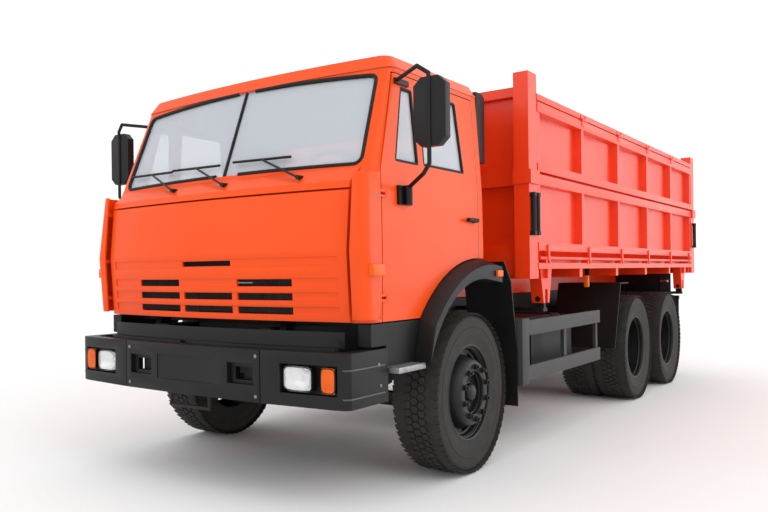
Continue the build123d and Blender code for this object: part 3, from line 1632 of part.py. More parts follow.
# ---- subframe and tipping cylinder ---------------------------------------------------------
barrel_radius = 100
barrel_length = 480
barrel_low = 705
barrel_base = 20
stage_step = 6
stage_radii = (84, 68, 52)
trunnion_z = 900
trunnion_radius = 30
rod_eye_z = 1208
rod_eye_radius = 48


def subframe():
    """Long beams on the rails, pivot beams with their pins and the cylinder's cradle."""
    pieces = []
    for side in (-1, 1):
        lo, hi = sorted((side * (rail_x - 35), side * (rail_x + 35)))
        pieces.append(block(lo, hi, bed_front_y - 100, bed_rear_y - 80, rail_top, subframe_top))
    for y in (leg_y_front, leg_y_rear):
        pieces.append(block(-pivot_x - 35, pivot_x + 35, y - 40, y + 40, rail_top + 4, rail_top + 34))
        for side in (-1, 1):
            x = side * pivot_x
            pieces.append(block(x - 32, x + 32, y - 20, y + 20, rail_top + 30, pivot_z + 32))
            pieces.append(rod_y(x, y - 60, y + 60, pivot_z, pivot_pin_radius))
    for offset in (-190, 190):
        y = cylinder_y + offset
        pieces.append(block(-rail_x + 10, rail_x - 10, y - 30, y + 30, rail_top + 5, subframe_top - 5))
    for offset in (-135, 120):
        y = cylinder_y + offset
        ear = block(-60, 60, y, y + 15, trunnion_z - 60, rail_top + 20)
        foot_y0, foot_y1 = sorted((y + 7, cylinder_y + math.copysign(200, offset)))
        ear += block(-60, 60, foot_y0, foot_y1, rail_top + 5, rail_top + 25)
        ear -= rod_y(0, y - 2, y + 17, trunnion_z, trunnion_radius + pin_clearance)
        pieces.append(ear)
    return join(pieces)


def cylinder_stages():
    """Barrel with its trunnions, then the nested tubes; the last one carries the eye."""
    bores = [radius + pin_clearance for radius in stage_radii]
    top = barrel_low + barrel_length
    barrel = rod_z(0, cylinder_y, barrel_low, top, barrel_radius)
    barrel -= rod_z(0, cylinder_y, barrel_low + barrel_base, top + 1, bores[0])
    trunnions = rod_y(0, cylinder_y - 135, cylinder_y - barrel_radius + 8, trunnion_z, trunnion_radius)
    trunnions += rod_y(0, cylinder_y + barrel_radius - 8, cylinder_y + 135, trunnion_z, trunnion_radius)
    stages = [join([barrel, trunnions])]
    for n, radius in enumerate(stage_radii):
        low = barrel_low + barrel_base + stage_step * (2 * n + 1)
        stage = rod_z(0, cylinder_y, low, top + stage_step * n, radius)
        if n + 1 < len(stage_radii):
            stage -= rod_z(0, cylinder_y, low + stage_step, top + 50, bores[n + 1])
        else:
            stage += Pos(0, cylinder_y, rod_eye_z) * Sphere(rod_eye_radius)
        stages.append(stage)
    return stages


# ---- write every node ---------------------------------------------------------------------
save("front_axle", front_axle())
for side_name, side in (("left", 1), ("right", -1)):
    save(f"knuckle_{side_name}", knuckle(side))
save("track_rod", track_rod())
save("frame", frame())
save("bumper", group([bumper(), valance()]))
save("lamps", group(front_lamps()))
save("leaf_springs", leaf_springs())
save("rear_axles", rear_axles())
save("engine_block", engine())
save("tanks", tanks())
save("side_guards", side_guards())
save("battery_box", battery_box())
save("silencer", silencer())
save("mudguards", mudguards())
save("rear_bar", tail_lamps())
save("subframe", subframe())
save("cab_shell", cab_shell())
save("corner_deflectors", deflectors())
save("cab_glass", glazing())
save("wheel_arches", wheel_arches())
save("cab_steps", cab_steps())
save("marker_lamps", marker_lamps())
save("wipers", wipers())
save("snorkel", snorkel())
save("seats", seats())
save("dashboard", dashboard())
save("steering_wheel", steering_wheel())
save("front_panel", front_panel())
left_door = {"door_left": door_panel(), "door_glass_left": door_glass(), "door_fittings_left": door_fittings()}
for name, shape in left_door.items():
    save(name, shape)
    save(name.replace("left", "right"), mirrored(shape))
save("bed_floor", bed_floor())
save("bed_front_wall", end_wall(True))
save("bed_rear_wall", end_wall(False))
save("bed_top_rails", top_rails())
save("board_struts", board_springs())
left_boards = {"lower_board_left": side_board(lower_board_bottom, lower_board_top, True),
               "upper_board_left": upper_board()}
for name, shape in left_boards.items():
    save(name, shape)
    save(name.replace("left", "right"), mirrored(shape))
for name, stage in zip(("barrel", "outer_tube", "inner_tube", "ram"), cylinder_stages()):
    save(f"cylinder_{name}", stage)
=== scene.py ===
# %% [markdown]
# # Side-tipping dump truck
# A three-axle truck with a hinged orange cab and a two-tier steel body. The solid model already
# gives every metal piece its size, so this lesson dresses it: finishes first, then the small
# things that repeat, such as tread blocks, wheel nuts and bolts, and last the light and camera.

# %% Load the frame
import bpy
import bmesh
import json
import math
from mathutils import Matrix, Vector


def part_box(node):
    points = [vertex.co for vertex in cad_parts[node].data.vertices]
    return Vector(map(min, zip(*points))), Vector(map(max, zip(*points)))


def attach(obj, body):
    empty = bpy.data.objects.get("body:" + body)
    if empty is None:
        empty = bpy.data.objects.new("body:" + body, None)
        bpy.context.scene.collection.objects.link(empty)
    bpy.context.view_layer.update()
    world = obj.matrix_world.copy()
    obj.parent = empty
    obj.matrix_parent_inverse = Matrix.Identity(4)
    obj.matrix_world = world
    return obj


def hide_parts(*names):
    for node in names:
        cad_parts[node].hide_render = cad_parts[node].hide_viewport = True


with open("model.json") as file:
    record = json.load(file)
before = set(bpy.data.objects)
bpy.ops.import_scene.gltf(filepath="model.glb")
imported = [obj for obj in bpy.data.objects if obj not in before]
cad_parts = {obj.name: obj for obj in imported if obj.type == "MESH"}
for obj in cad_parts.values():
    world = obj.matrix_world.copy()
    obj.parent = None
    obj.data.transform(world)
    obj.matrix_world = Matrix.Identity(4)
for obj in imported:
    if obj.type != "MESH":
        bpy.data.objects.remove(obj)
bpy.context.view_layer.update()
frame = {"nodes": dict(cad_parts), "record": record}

# %% [markdown]
# Colours are written as the hex values a paint card shows. Blender works in linear light, so one
# function turns a hex value into linear numbers. A second small function adds any node, sets its
# values and joins its inputs, and both kinds of tree, shader and geometry, are built with it. Two
# more save words: one gives a new node's first output, one adds an arithmetic node.

# %% Helpers for every tree
def colour(text):
    """Linear RGBA from an sRGB hex value."""
    parts = [int(text[n:n + 2], 16) / 255 for n in (0, 2, 4)]
    return [p / 12.92 if p <= 0.04045 else ((p + 0.055) / 1.055) ** 2.4 for p in parts] + [1.0]


def add(tree, kind, settings=None, links=None):
    """Adds one node. Settings name its properties or inputs, links join inputs to other outputs."""
    made = tree.nodes.new(kind)
    for name, value in (settings or {}).items():
        if isinstance(name, str) and hasattr(made, name):
            setattr(made, name, value)
        else:
            made.inputs[name].default_value = value
    for name, source in (links or {}).items():
        tree.links.new(source, made.inputs[name])
    return made


def out(tree, kind, settings=None, links=None):
    """Adds one node and gives its first output."""
    return add(tree, kind, settings, links).outputs[0]


def maths(tree, operation, *values):
    """One arithmetic node. Each value is a number or another node's output."""
    made = add(tree, "ShaderNodeMath", {"operation": operation})
    for n, value in enumerate(values):
        if isinstance(value, (int, float)):
            made.inputs[n].default_value = value
        else:
            tree.links.new(value, made.inputs[n])
    return made.outputs[0]


print("orange in linear light", [round(v, 3) for v in colour("F4511E")])

# %% [markdown]
# Most finishes here have the same build: a main colour and a slightly different one mixed by slow
# noise, as road film and fading do, a roughness that wanders a little, and a fine bump for the
# surface grain. One function makes that base, and each material then adds what is its own.

# %% A finish with film, grain and wander
def finish(name, main, film, patch_mm, film_share, rough, grain_mm, grain_mm_deep, **shader):
    """Principled material: main colour, film colour in patches, grain as bump. Sizes in mm."""
    material = bpy.data.materials.new(name)
    material.use_nodes = True
    tree = material.node_tree
    tree.nodes.clear()
    place = add(tree, "ShaderNodeTexCoord").outputs["Object"]
    patches = add(tree, "ShaderNodeTexNoise", {"Scale": 1000 / patch_mm, "Detail": 6.0, "Roughness": 0.6},
                  {"Vector": place})
    share = add(tree, "ShaderNodeMapRange", {"From Min": 0.45, "From Max": 0.75, "To Max": film_share},
                {"Value": patches.outputs["Fac"]})
    mixed = add(tree, "ShaderNodeMix", {"data_type": "RGBA", 6: colour(main), 7: colour(film)},
                {0: share.outputs["Result"]})
    wander = add(tree, "ShaderNodeMapRange", {"To Min": rough * 0.85, "To Max": min(1.0, rough * 1.25)},
                 {"Value": patches.outputs["Fac"]})
    grain = add(tree, "ShaderNodeTexNoise", {"Scale": 1000 / grain_mm, "Detail": 2.0}, {"Vector": place})
    bump = add(tree, "ShaderNodeBump", {"Strength": 1.0, "Distance": grain_mm_deep / 1000},
               {"Height": grain.outputs["Fac"]})
    body = add(tree, "ShaderNodeBsdfPrincipled", shader,
               {"Base Color": mixed.outputs[2], "Roughness": wander.outputs["Result"],
                "Normal": bump.outputs["Normal"]})
    add(tree, "ShaderNodeOutputMaterial", {}, {"Surface": body.outputs["BSDF"]})
    return material


# %% [markdown]
# The cab is steel sprayed with two-pack enamel: an even orange under a clear gloss, with the faint
# ripple that spraying leaves. The gloss comes from the coat, so the colour below is kept deeper
# than it looks. The body is sprayed with a plainer, redder enamel on rougher plate.

# %% Enamels
cab_orange, faded_orange = "F04E08", "E4460A"
cab_spray = (700, 0.5, 0.34, 14, 0.02)  # patch, share of film, roughness, grain and its depth
cab_gloss = {"Coat Weight": 0.1, "Coat Roughness": 0.06, "Specular IOR Level": 0.2}
dull = {"Specular IOR Level": 0.3}
cab_enamel = finish("sprayed_orange_enamel", cab_orange, faded_orange, *cab_spray, **cab_gloss)
body_enamel = finish("sprayed_red_orange_enamel", "EE3A0A", "DE320A", 500, 0.6, 0.30, 9, 0.05,
                     **{"Coat Weight": 0.1, "Coat Roughness": 0.15, "Specular IOR Level": 0.4})
chassis_enamel = finish("black_chassis_enamel", "101011", "24221F", 260, 0.5, 0.5, 6, 0.1, **dull)
guard_enamel = finish("grey_guard_enamel", "3A3A3A", "464543", 260, 0.5, 0.55, 6, 0.1, **dull)
wheel_enamel = finish("black_wheel_enamel", "121213", "26241F", 120, 0.5, 0.42, 5, 0.1,
                      **{"Specular IOR Level": 0.4})
for made in (cab_enamel, body_enamel, chassis_enamel, guard_enamel, wheel_enamel):
    print("finish", made.name)

# %% [markdown]
# The same pressing is painted outside and lined with pale grey board inside. A wall's inner face
# looks towards the middle of the cab, so the sign of that look, taken from the face's own normal,
# tells the lining from the paint without a second skin. The nose wall behind the hinged front
# panel is turned near-black, painted shade behind the grille's slots, and the tilting lugs under
# the floor take the same near-black: the same tree picks them out by their place.

# %% Enamel outside, lining inside
cab_middle = (0.0, -2.75, 1.75)
nose_half_width, nose_back, nose_top = 0.978, -3.55, 1.74
floor_underside = 1.0255


def lined(name, lining, shade_black):
    """The cab's enamel, turned to a lining colour on faces that look towards the middle."""
    material = finish(name, cab_orange, faded_orange, *cab_spray, **cab_gloss)
    tree = material.node_tree
    body = next(n for n in tree.nodes if n.type == "BSDF_PRINCIPLED")
    paint = body.inputs["Base Color"].links[0].from_socket
    place = add(tree, "ShaderNodeTexCoord").outputs
    outward = out(tree, "ShaderNodeVectorMath", {"operation": "SUBTRACT", 1: cab_middle},
                  {0: place["Object"]})
    unit = out(tree, "ShaderNodeVectorMath", {"operation": "NORMALIZE"}, {0: outward})
    look = add(tree, "ShaderNodeVectorMath", {"operation": "DOT_PRODUCT"}, {0: place["Normal"], 1: unit})
    inside = maths(tree, "LESS_THAN", look.outputs["Value"], -0.3)
    mixed = add(tree, "ShaderNodeMix", {"data_type": "RGBA", 7: colour(lining)}, {0: inside, 6: paint})
    apart = add(tree, "ShaderNodeSeparateXYZ", {}, {0: place["Object"]}).outputs
    near_middle = maths(tree, "LESS_THAN", maths(tree, "ABSOLUTE", apart["X"]), nose_half_width)
    forward = maths(tree, "LESS_THAN", apart["Y"], nose_back)
    low = maths(tree, "LESS_THAN", apart["Z"], nose_top)
    nose = maths(tree, "MULTIPLY", maths(tree, "MULTIPLY", near_middle, forward), low)
    under = maths(tree, "LESS_THAN", apart["Z"], floor_underside)
    hidden = maths(tree, "MAXIMUM", nose, under)
    # Near-black on the nose wall is painted shade behind the grille; the lugs below the floor take the same
    # near-black.
    shaded = add(tree, "ShaderNodeMix", {"data_type": "RGBA", 7: colour(shade_black)},
                 {0: hidden, 6: mixed.outputs[2]})
    tree.links.new(shaded.outputs[2], body.inputs["Base Color"])
    return material


lined_cab = lined("enamelled_and_lined_cab_steel", lining="A9A9A6", shade_black="0E0E0F")
print("finish", lined_cab.name)

# %% [markdown]
# The bumper, arches and steps are moulded polypropylene with a leathery grain of about 2 mm, drawn
# a little coarser so that it shows. Tyres are carbon-black rubber, never quite black outdoors,
# because dust sits in the pores. The glass is laminated, and by day it carries a veil of the sky:
# its pale colour is a painted reflection, an even veil over a see-through pane, which is what
# Alpha gives.

# %% Plastics, rubber, metals and glass
polypropylene = finish("grained_black_polypropylene", "0F0F10", "1A1A1B", 300, 0.6, 0.45, 3, 0.25, **dull)
soft_trim = finish("moulded_grey_trim", "202022", "2A2A2C", 200, 0.4, 0.6, 2.5, 0.2, **dull)
tyre_rubber = finish("dusty_tyre_rubber", "2C2A28", "403D3A", 90, 0.7, 0.7, 4, 0.3, **dull)
seal_rubber = finish("window_seal_rubber", "0C0C0D", "161616", 120, 0.5, 0.5, 3, 0.08, **dull)
bare_steel = finish("brushed_bare_steel", "8A8A8C", "6A655F", 80, 0.6, 0.4, 3, 0.05, Metallic=1.0)
cast_iron = finish("sand_cast_iron", "2A2A2A", "453D37", 70, 0.6, 0.7, 4, 0.5, **dull)
chequer_alloy = finish("rolled_aluminium", "A4A6A8", "7C7975", 60, 0.7, 0.42, 2, 0.05, Metallic=1.0)
ram_chrome = finish("hard_chromed_steel", "C9CACC", "B0B0B2", 100, 0.4, 0.15, 2, 0.005, Metallic=1.0)
# The pale base under Alpha is a painted reflection of the sky.
window_glass = finish("laminated_glass_with_painted_sky", "E6EBF3", "DDE3EC", 900, 0.4, 0.04, 60, 0.002, Alpha=0.42)
amber_lens = finish("amber_acrylic", "E66000", "CC4A00", 60, 0.5, 0.22, 5, 0.25,
                    **{"Specular IOR Level": 0.25})
clear_lens = finish("clear_polycarbonate", "F4F6F6", "E8ECEC", 60, 0.4, 0.08, 8, 0.3, Alpha=0.25)
red_lens = finish("red_acrylic", "B01008", "9A0C06", 60, 0.5, 0.18, 5, 0.25, **{"Coat Weight": 0.4})
seat_cloth = finish("woven_seat_cloth", "2B2D33", "3C3E45", 60, 0.7, 0.9, 1.6, 0.3, **{"Sheen Weight": 0.4})
mirror_silver = finish("silvered_mirror", "E6E8E8", "D8DADA", 300, 0.3, 0.03, 100, 0.001, Metallic=1.0)
reflector_silver = finish("aluminised_reflector", "EFEFEF", "E2E2E4", 30, 0.4, 0.12, 12, 0.3, Metallic=1.0)
print("materials made", len(bpy.data.materials))

# %% [markdown]
# Every solid carries the name of the finish it leaves the shop with. A short table joins those
# names to the materials above, so a solid that needs nothing more already looks right.

# %% Finishes on the solids
finish_of_slot = {
    "cab_paint": cab_enamel, "grille_paint": cab_enamel, "bed_paint": body_enamel,
    "chassis_paint": chassis_enamel, "wheel_paint": wheel_enamel, "tyre_rubber": tyre_rubber,
    "black_plastic": polypropylene, "clear_glass": window_glass, "lamp_lens": clear_lens,
    "amber_lens": amber_lens, "seat_cloth": seat_cloth, "trim_plastic": soft_trim,
    "bare_steel": bare_steel, "rod_chrome": ram_chrome, "engine_iron": cast_iron,
}
for part in frame["record"]["subparts"]:
    solid = frame["nodes"][part["node"]]
    if not solid.material_slots:
        solid.data.materials.append(None)
    for place in solid.material_slots:
        place.material = finish_of_slot[part["material_slot"]]
for name in ("cab_shell", "door_left", "door_right"):
    frame["nodes"][name].material_slots[0].material = lined_cab
frame["nodes"]["side_guards"].material_slots[0].material = guard_enamel

# %% [markdown]
# The small pieces are added in two ways. Where a piece repeats, a Geometry Nodes tree makes it:
# the tree has named inputs for its sizes, ends by turning its copies into real faces, and a helper
# applies it and keeps only the plain mesh. Anything else is a mesh with its place already in it.

# %% Helpers for trees of shapes
def new_tree(name, sizes, takes_path=False):
    """A geometry tree with named inputs: a whole number, a length or three numbers each."""
    kinds = {int: "NodeSocketInt", float: "NodeSocketFloat", tuple: "NodeSocketVector"}
    tree = bpy.data.node_groups.new(name, "GeometryNodeTree")
    tree.interface.new_socket("Geometry", in_out="OUTPUT", socket_type="NodeSocketGeometry")
    if takes_path:
        tree.interface.new_socket("Path", in_out="INPUT", socket_type="NodeSocketGeometry")
    for label, value in sizes.items():
        socket = tree.interface.new_socket(label, in_out="INPUT", socket_type=kinds[type(value)])
        socket.default_value = value
    return tree, add(tree, "NodeGroupInput").outputs


def end_tree(tree, shape, material):
    """Ends a tree: copies made real, material set, shape given out."""
    real = out(tree, "GeometryNodeRealizeInstances", {}, {"Geometry": shape})
    painted = out(tree, "GeometryNodeSetMaterial", {"Material": material}, {"Geometry": real})
    add(tree, "NodeGroupOutput", {}, {"Geometry": painted})


def placed(name, data):
    """A new object in the scene. Those named holder last only while modifiers work on a mesh."""
    made = bpy.data.objects.new(name, data)
    bpy.context.collection.objects.link(made)
    return made


def worked(holder, keep=False):
    """The plain mesh that the holder's modifiers make. The holder then goes, unless it is kept."""
    mesh = bpy.data.meshes.new_from_object(holder.evaluated_get(bpy.context.evaluated_depsgraph_get()))
    if not keep:
        bpy.data.objects.remove(holder)
    return mesh


def grow(tree, values=None, start=None):
    """Runs a tree with these inputs, on a starting mesh if it takes one, and returns a plain mesh."""
    holder = placed("holder", start or bpy.data.meshes.new("empty"))
    modifier = holder.modifiers.new("shape", "NODES")
    modifier.node_group = tree
    for item in tree.interface.items_tree:
        if item.in_out == "INPUT" and item.name in (values or {}):
            modifier[item.identifier] = values[item.name]
    return worked(holder)


print("tree helpers ready")

# %% [markdown]
# A piece on the truck is often several meshes welded into one. Each piece is told which moving
# body carries it, and it may be given a finish. Faces that meet at a small angle are shaded as
# one curve, the others as an edge.

# %% Helpers for meshes and pieces
weld_distance = 0.00002
smooth_below = math.radians(32)


def as_mesh(shape, name):
    """The plain mesh of a bmesh, which is freed."""
    mesh = bpy.data.meshes.new(name)
    shape.to_mesh(mesh)
    shape.free()
    return mesh


def path_of(points, closed=True):
    """A mesh of edges that joins the points in turn."""
    mesh = bpy.data.meshes.new("path")
    count = len(points)
    mesh.from_pydata(points, [(n, (n + 1) % count) for n in range(count if closed else count - 1)], [])
    return mesh


def merged(meshes, places=None):
    """One mesh from several, each moved by its matrix first, materials kept."""
    whole = bmesh.new()
    materials = []
    for n, mesh in enumerate(meshes):
        copy = mesh.copy()
        if places:
            copy.transform(places[n])
        slots = []
        for material in copy.materials:
            if material not in materials:
                materials.append(material)
            slots.append(materials.index(material))
        for face in copy.polygons:
            face.material_index = slots[face.material_index] if slots else 0
        whole.from_mesh(copy)
        bpy.data.meshes.remove(copy)
    joined = as_mesh(whole, "merged")
    for material in materials:
        joined.materials.append(material)
    return joined


def piece(name, mesh, body, replaces=(), material=None, smooth=True, tidy=True):
    """Makes the mesh a piece of the truck that rides on a body."""
    if material:
        mesh.materials.clear()
        mesh.materials.append(material)
    if tidy:
        shape = bmesh.new()
        shape.from_mesh(mesh)
        bmesh.ops.remove_doubles(shape, verts=shape.verts, dist=weld_distance)
        bmesh.ops.recalc_face_normals(shape, faces=shape.faces)
        shape.to_mesh(mesh)
        shape.free()
    if smooth:
        mesh.shade_smooth()
        mesh.set_sharp_from_angle(angle=smooth_below)
    made = placed(name, mesh)
    if replaces:
        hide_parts(*replaces)
    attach(made, body)
    return made


print("piece helpers ready")

# %% [markdown]
# A truck tyre is a turned shape: bead, sidewall with its ribs, shoulder and crown. The half
# section is written once as distances across and radii, mirrored, and turned about the axle.
# The crown stops short of the full radius, because the tread blocks stand on it.

# %% Turned tyre
axle_height = 0.518
front_axle_y = -2.4835
tread_height = 0.015

half_section = [
    # across, radius
    (0.100, 0.310), (0.112, 0.300), (0.121, 0.303), (0.124, 0.318), (0.1275, 0.335), (0.1275, 0.340),
    (0.1315, 0.352), (0.1365, 0.385), (0.1385, 0.410), (0.1390, 0.418), (0.1365, 0.420), (0.1365, 0.425),
    (0.1390, 0.427), (0.1385, 0.445), (0.1365, 0.462), (0.1375, 0.464), (0.1360, 0.478), (0.1310, 0.492),
    (0.1180, 0.503), (0.0800, 0.506), (0.0, 0.507),
]


def turned(section, steps, closed=False):
    """Mesh turned about the X axis from (across, radius) points."""
    shape = bmesh.new()
    rings = []
    for n in range(steps):
        angle = 2 * math.pi * n / steps
        rings.append([shape.verts.new((x, r * math.cos(angle), r * math.sin(angle))) for x, r in section])
    count = len(section)
    spans = range(count) if closed else range(count - 1)
    for n in range(steps):
        here, after = rings[n], rings[(n + 1) % steps]
        for k in spans:
            shape.faces.new((here[k], here[(k + 1) % count], after[(k + 1) % count], after[k]))
    return as_mesh(shape, "turned")


whole_section = half_section + [(-x, r) for x, r in reversed(half_section[:-1])]
carcass = turned(whole_section, 120, closed=True)
carcass.materials.append(tyre_rubber)
print("tyre section points", len(whole_section), "faces", len(carcass.polygons))

# %% [markdown]
# The tread is three columns of six-sided blocks with a row of longer lugs on each shoulder. A
# tree sets one block on every point of a circle; a table gives each column its offset across the
# tyre and its shift along it, which is what makes the zig-zag grooves.

# %% Tread blocks
columns = [
    # offset across, shift along in block pitches, block length along, block width across, sides
    (0.0, 0.0, 0.046, 0.050, 6),
    (0.044, 0.5, 0.046, 0.046, 6),
    (-0.044, 0.5, 0.046, 0.046, 6),
    (0.103, 0.25, 0.041, 0.072, 4),
    (-0.103, 0.75, 0.041, 0.072, 4),
]
tread, sizes = new_tree("tread_blocks", {
    "Count": 64, "Crown radius": axle_height - tread_height * 1.04, "Block height": tread_height})
shoulder_from, shoulder_drop = 0.09, 0.003
all_columns = add(tread, "GeometryNodeJoinGeometry")
for across, shift, along, width, sides in columns:
    block = out(tread, "GeometryNodeMeshCylinder", {"Vertices": sides, "Radius": 0.5, "Depth": 1.0})
    spin, span = (0, 1.0) if sides == 6 else (math.pi / 4, math.sqrt(2))
    upright = out(tread, "GeometryNodeTransform", {"Rotation": (spin, math.pi / 2, 0)},
                  {"Geometry": block})
    stretch = out(tread, "ShaderNodeCombineXYZ", {"Y": along * span, "Z": width * span},
                  {"X": sizes["Block height"]})
    sized = out(tread, "GeometryNodeTransform", {},
                {"Geometry": upright, "Scale": stretch})
    middle = maths(tread, "MULTIPLY_ADD", sizes["Block height"], 0.5, sizes["Crown radius"])
    lower = maths(tread, "SUBTRACT", middle, shoulder_drop if abs(across) > shoulder_from else 0.0)
    circle = out(tread, "GeometryNodeMeshCircle", {}, {"Vertices": sizes["Count"], "Radius": lower})
    place = out(tread, "GeometryNodeInputPosition")
    facing = out(tread, "FunctionNodeAlignRotationToVector", {"axis": "X", "pivot_axis": "Z"},
                 {"Vector": place})
    ring = out(tread, "GeometryNodeInstanceOnPoints", {},
               {"Points": circle, "Instance": sized,
                "Rotation": facing})
    turn = out(tread, "ShaderNodeCombineXYZ", {},
               {"Z": maths(tread, "DIVIDE", 2 * math.pi * shift, sizes["Count"])})
    moved = out(tread, "GeometryNodeTransform", {"Translation": (0, 0, across)},
                {"Geometry": ring, "Rotation": turn})
    tread.links.new(moved, all_columns.inputs[0])
onto_axle = out(tread, "GeometryNodeTransform", {"Rotation": (0, math.pi / 2, 0)},
                {"Geometry": all_columns.outputs[0]})
end_tree(tread, onto_axle, tyre_rubber)
blocks = grow(tread)
print("tread faces on one tyre", len(blocks.polygons))

# %% [markdown]
# One tyre mesh is now copied to its ten places. Twin tyres turn together, so the two of a pair
# are one piece.

# %% Ten tyres on six wheels
tyre_mesh = merged([carcass, blocks])
wheels = [
    # name, distance from the middle to each tyre's centre, distance along
    ("front", (1.025,), front_axle_y),
    ("middle", (0.789, 1.101), front_axle_y + 3.690),
    ("rear", (0.789, 1.101), front_axle_y + 5.010),
]
for name, offsets, y in wheels:
    for side, sign in (("left", 1), ("right", -1)):
        places = [Matrix.Translation((sign * x, y, axle_height)) for x in offsets]
        tyres = merged([tyre_mesh] * len(places), places)
        piece(f"{name}_{side}_tyre", tyres, f"wheel_{name}_{side}",
              replaces=(f"tyre_{name}_{side}",), tidy=False)
print("tyre pieces", 2 * len(wheels), "triangles each", len(tyre_mesh.polygons) * 2)

# %% [markdown]
# Each pane sits in a rubber seal that laps over the glass and the steel. The seal follows the
# pane's own edge, so its path is read from the glass: the edges round the outward face. A tree
# spaces points evenly along that path and sweeps a round lip along it.

# %% The edge of a pane
def pane_edge(node, facing, wanted):
    """Edges round the face of a glass solid that looks along facing, where wanted(point) holds."""
    shape = bmesh.new()
    shape.from_mesh(frame["nodes"][node].data)
    bmesh.ops.remove_doubles(shape, verts=shape.verts, dist=0.00001)
    facing = Vector(facing).normalized()
    outer = {f for f in shape.faces if f.normal.dot(facing) > 0.5 and wanted(f.calc_center_median())}
    border = {e for f in outer for e in f.edges if sum(g in outer for g in e.link_faces) == 1}
    numbers, points, pairs = {}, [], []
    for edge in border:
        if not all(wanted(v.co) for v in edge.verts):
            continue
        for v in edge.verts:
            if v not in numbers:
                numbers[v] = len(points)
                points.append(v.co.copy())
        pairs.append([numbers[v] for v in edge.verts])
    mesh = bpy.data.meshes.new(node + "_edge")
    mesh.from_pydata(points, pairs, [])
    shape.free()
    return mesh


lip, sizes = new_tree("rubber_lip", {"Half width": 0.012, "Step": 0.02, "Shift": (0, 0, 0)}, takes_path=True)
path = out(lip, "GeometryNodeMeshToCurve", {}, {"Mesh": sizes["Path"]})
even = out(lip, "GeometryNodeResampleCurve", {"mode": "LENGTH"},
           {"Curve": path, "Length": sizes["Step"]})
round_lip = out(lip, "GeometryNodeCurvePrimitiveCircle", {"Resolution": 10},
                {"Radius": sizes["Half width"]})
swept = out(lip, "GeometryNodeCurveToMesh", {"Fill Caps": True},
            {"Curve": even, "Profile Curve": round_lip})
set_proud = out(lip, "GeometryNodeTransform", {},
                {"Geometry": swept, "Translation": sizes["Shift"]})
end_tree(lip, set_proud, seal_rubber)
print("lip inputs", [item.name for item in lip.interface.items_tree])

# %% [markdown]
# The windscreen is in two panes with a black strip between them. Its seal stands a few
# millimetres forward of the steel, the door seals a few millimetres to the side.

# %% Seals
front_edge = pane_edge("cab_glass", (0, -1, 0.3), lambda p: p.y < -3.0 and abs(p.x) > 0.008)
middle_edge = pane_edge("cab_glass", (0, -1, 0.3), lambda p: p.y < -3.0 and 0 < p.x < 0.03)
for vertex in middle_edge.vertices:
    vertex.co.x = 0.0
rear_edge = pane_edge("cab_glass", (0, 1, 0), lambda p: p.y > -2.5)
front_seal = grow(lip, {"Half width": 0.013, "Shift": (0, -0.007, 0.002)}, front_edge)
strip = grow(lip, {"Half width": 0.011, "Shift": (0, -0.003, 0.001)}, middle_edge)
rear_seal = grow(lip, {"Half width": 0.016, "Shift": (0, 0.004, 0)}, rear_edge)
piece("windscreen_seals", merged([front_seal, strip, rear_seal]), "cab")
for side, sign in (("left", 1), ("right", -1)):
    edge = pane_edge("door_glass_" + side, (sign, 0, 0), lambda p: True)
    seal = grow(lip, {"Half width": 0.011, "Step": 0.015, "Shift": (sign * 0.004, 0, 0)}, edge)
    piece(f"door_{side}_window_seals", seal, "door_" + side)
print("seal faces", len(front_seal.polygons), len(strip.polygons), len(rear_seal.polygons))

# %% [markdown]
# A headlamp is a pressed reflector behind a fluted lens, held in a black frame. Light and dark
# bands come from the reflector's bowl and the flutes, not from paint, so all three are modelled:
# a rounded grid dished into a bowl, a grid with upright flutes, and a frame round them. Two
# functions make every such grid and give it its thickness.

# %% Rounded grids for reflectors and lenses
lamp_seat_y = -3.8185
lamp_middle_z = 0.733
lamp_half_height = 0.068
headlamp_x, indicator_x = 0.797, 0.986
rim_points = 64


def rounded_grid(x, half_x, half_z, power, depth, columns=36, rows=18):
    """Grid with rounded corners at x. The depth of u, w, from -1 to 1, is taken off the lamp's seat."""
    shape = bmesh.new()
    grid = []
    for j in range(rows + 1):
        w = -1 + 2 * j / rows
        row = []
        for i in range(columns + 1):
            u = -1 + 2 * i / columns
            stretch = 1 / max(1.0, (abs(u) ** power + abs(w) ** power) ** (1 / power))
            row.append(shape.verts.new((x + u * stretch * half_x, lamp_seat_y - depth(u, w),
                                        lamp_middle_z + w * stretch * half_z)))
        grid.append(row)
    for j in range(rows):
        for i in range(columns):
            shape.faces.new((grid[j][i], grid[j][i + 1], grid[j + 1][i + 1], grid[j + 1][i]))
    return as_mesh(shape, "lamp_grid")


def thickened(mesh, thickness):
    """The mesh as a closed shell of this thickness."""
    holder = placed("holder", mesh)
    wall = holder.modifiers.new("wall", "SOLIDIFY")
    wall.thickness = thickness
    wall.offset = 0
    return worked(holder)


print("lamp seat at", lamp_seat_y)

# %% [markdown]
# The headlamp's bowl is 34 mm deep and carries a bulb shield in its middle. The lens bulges a
# little and has flutes every 13 mm. The indicator's lens is flatter with finer ribs across it,
# and a solid amber block behind it makes its colour deep.

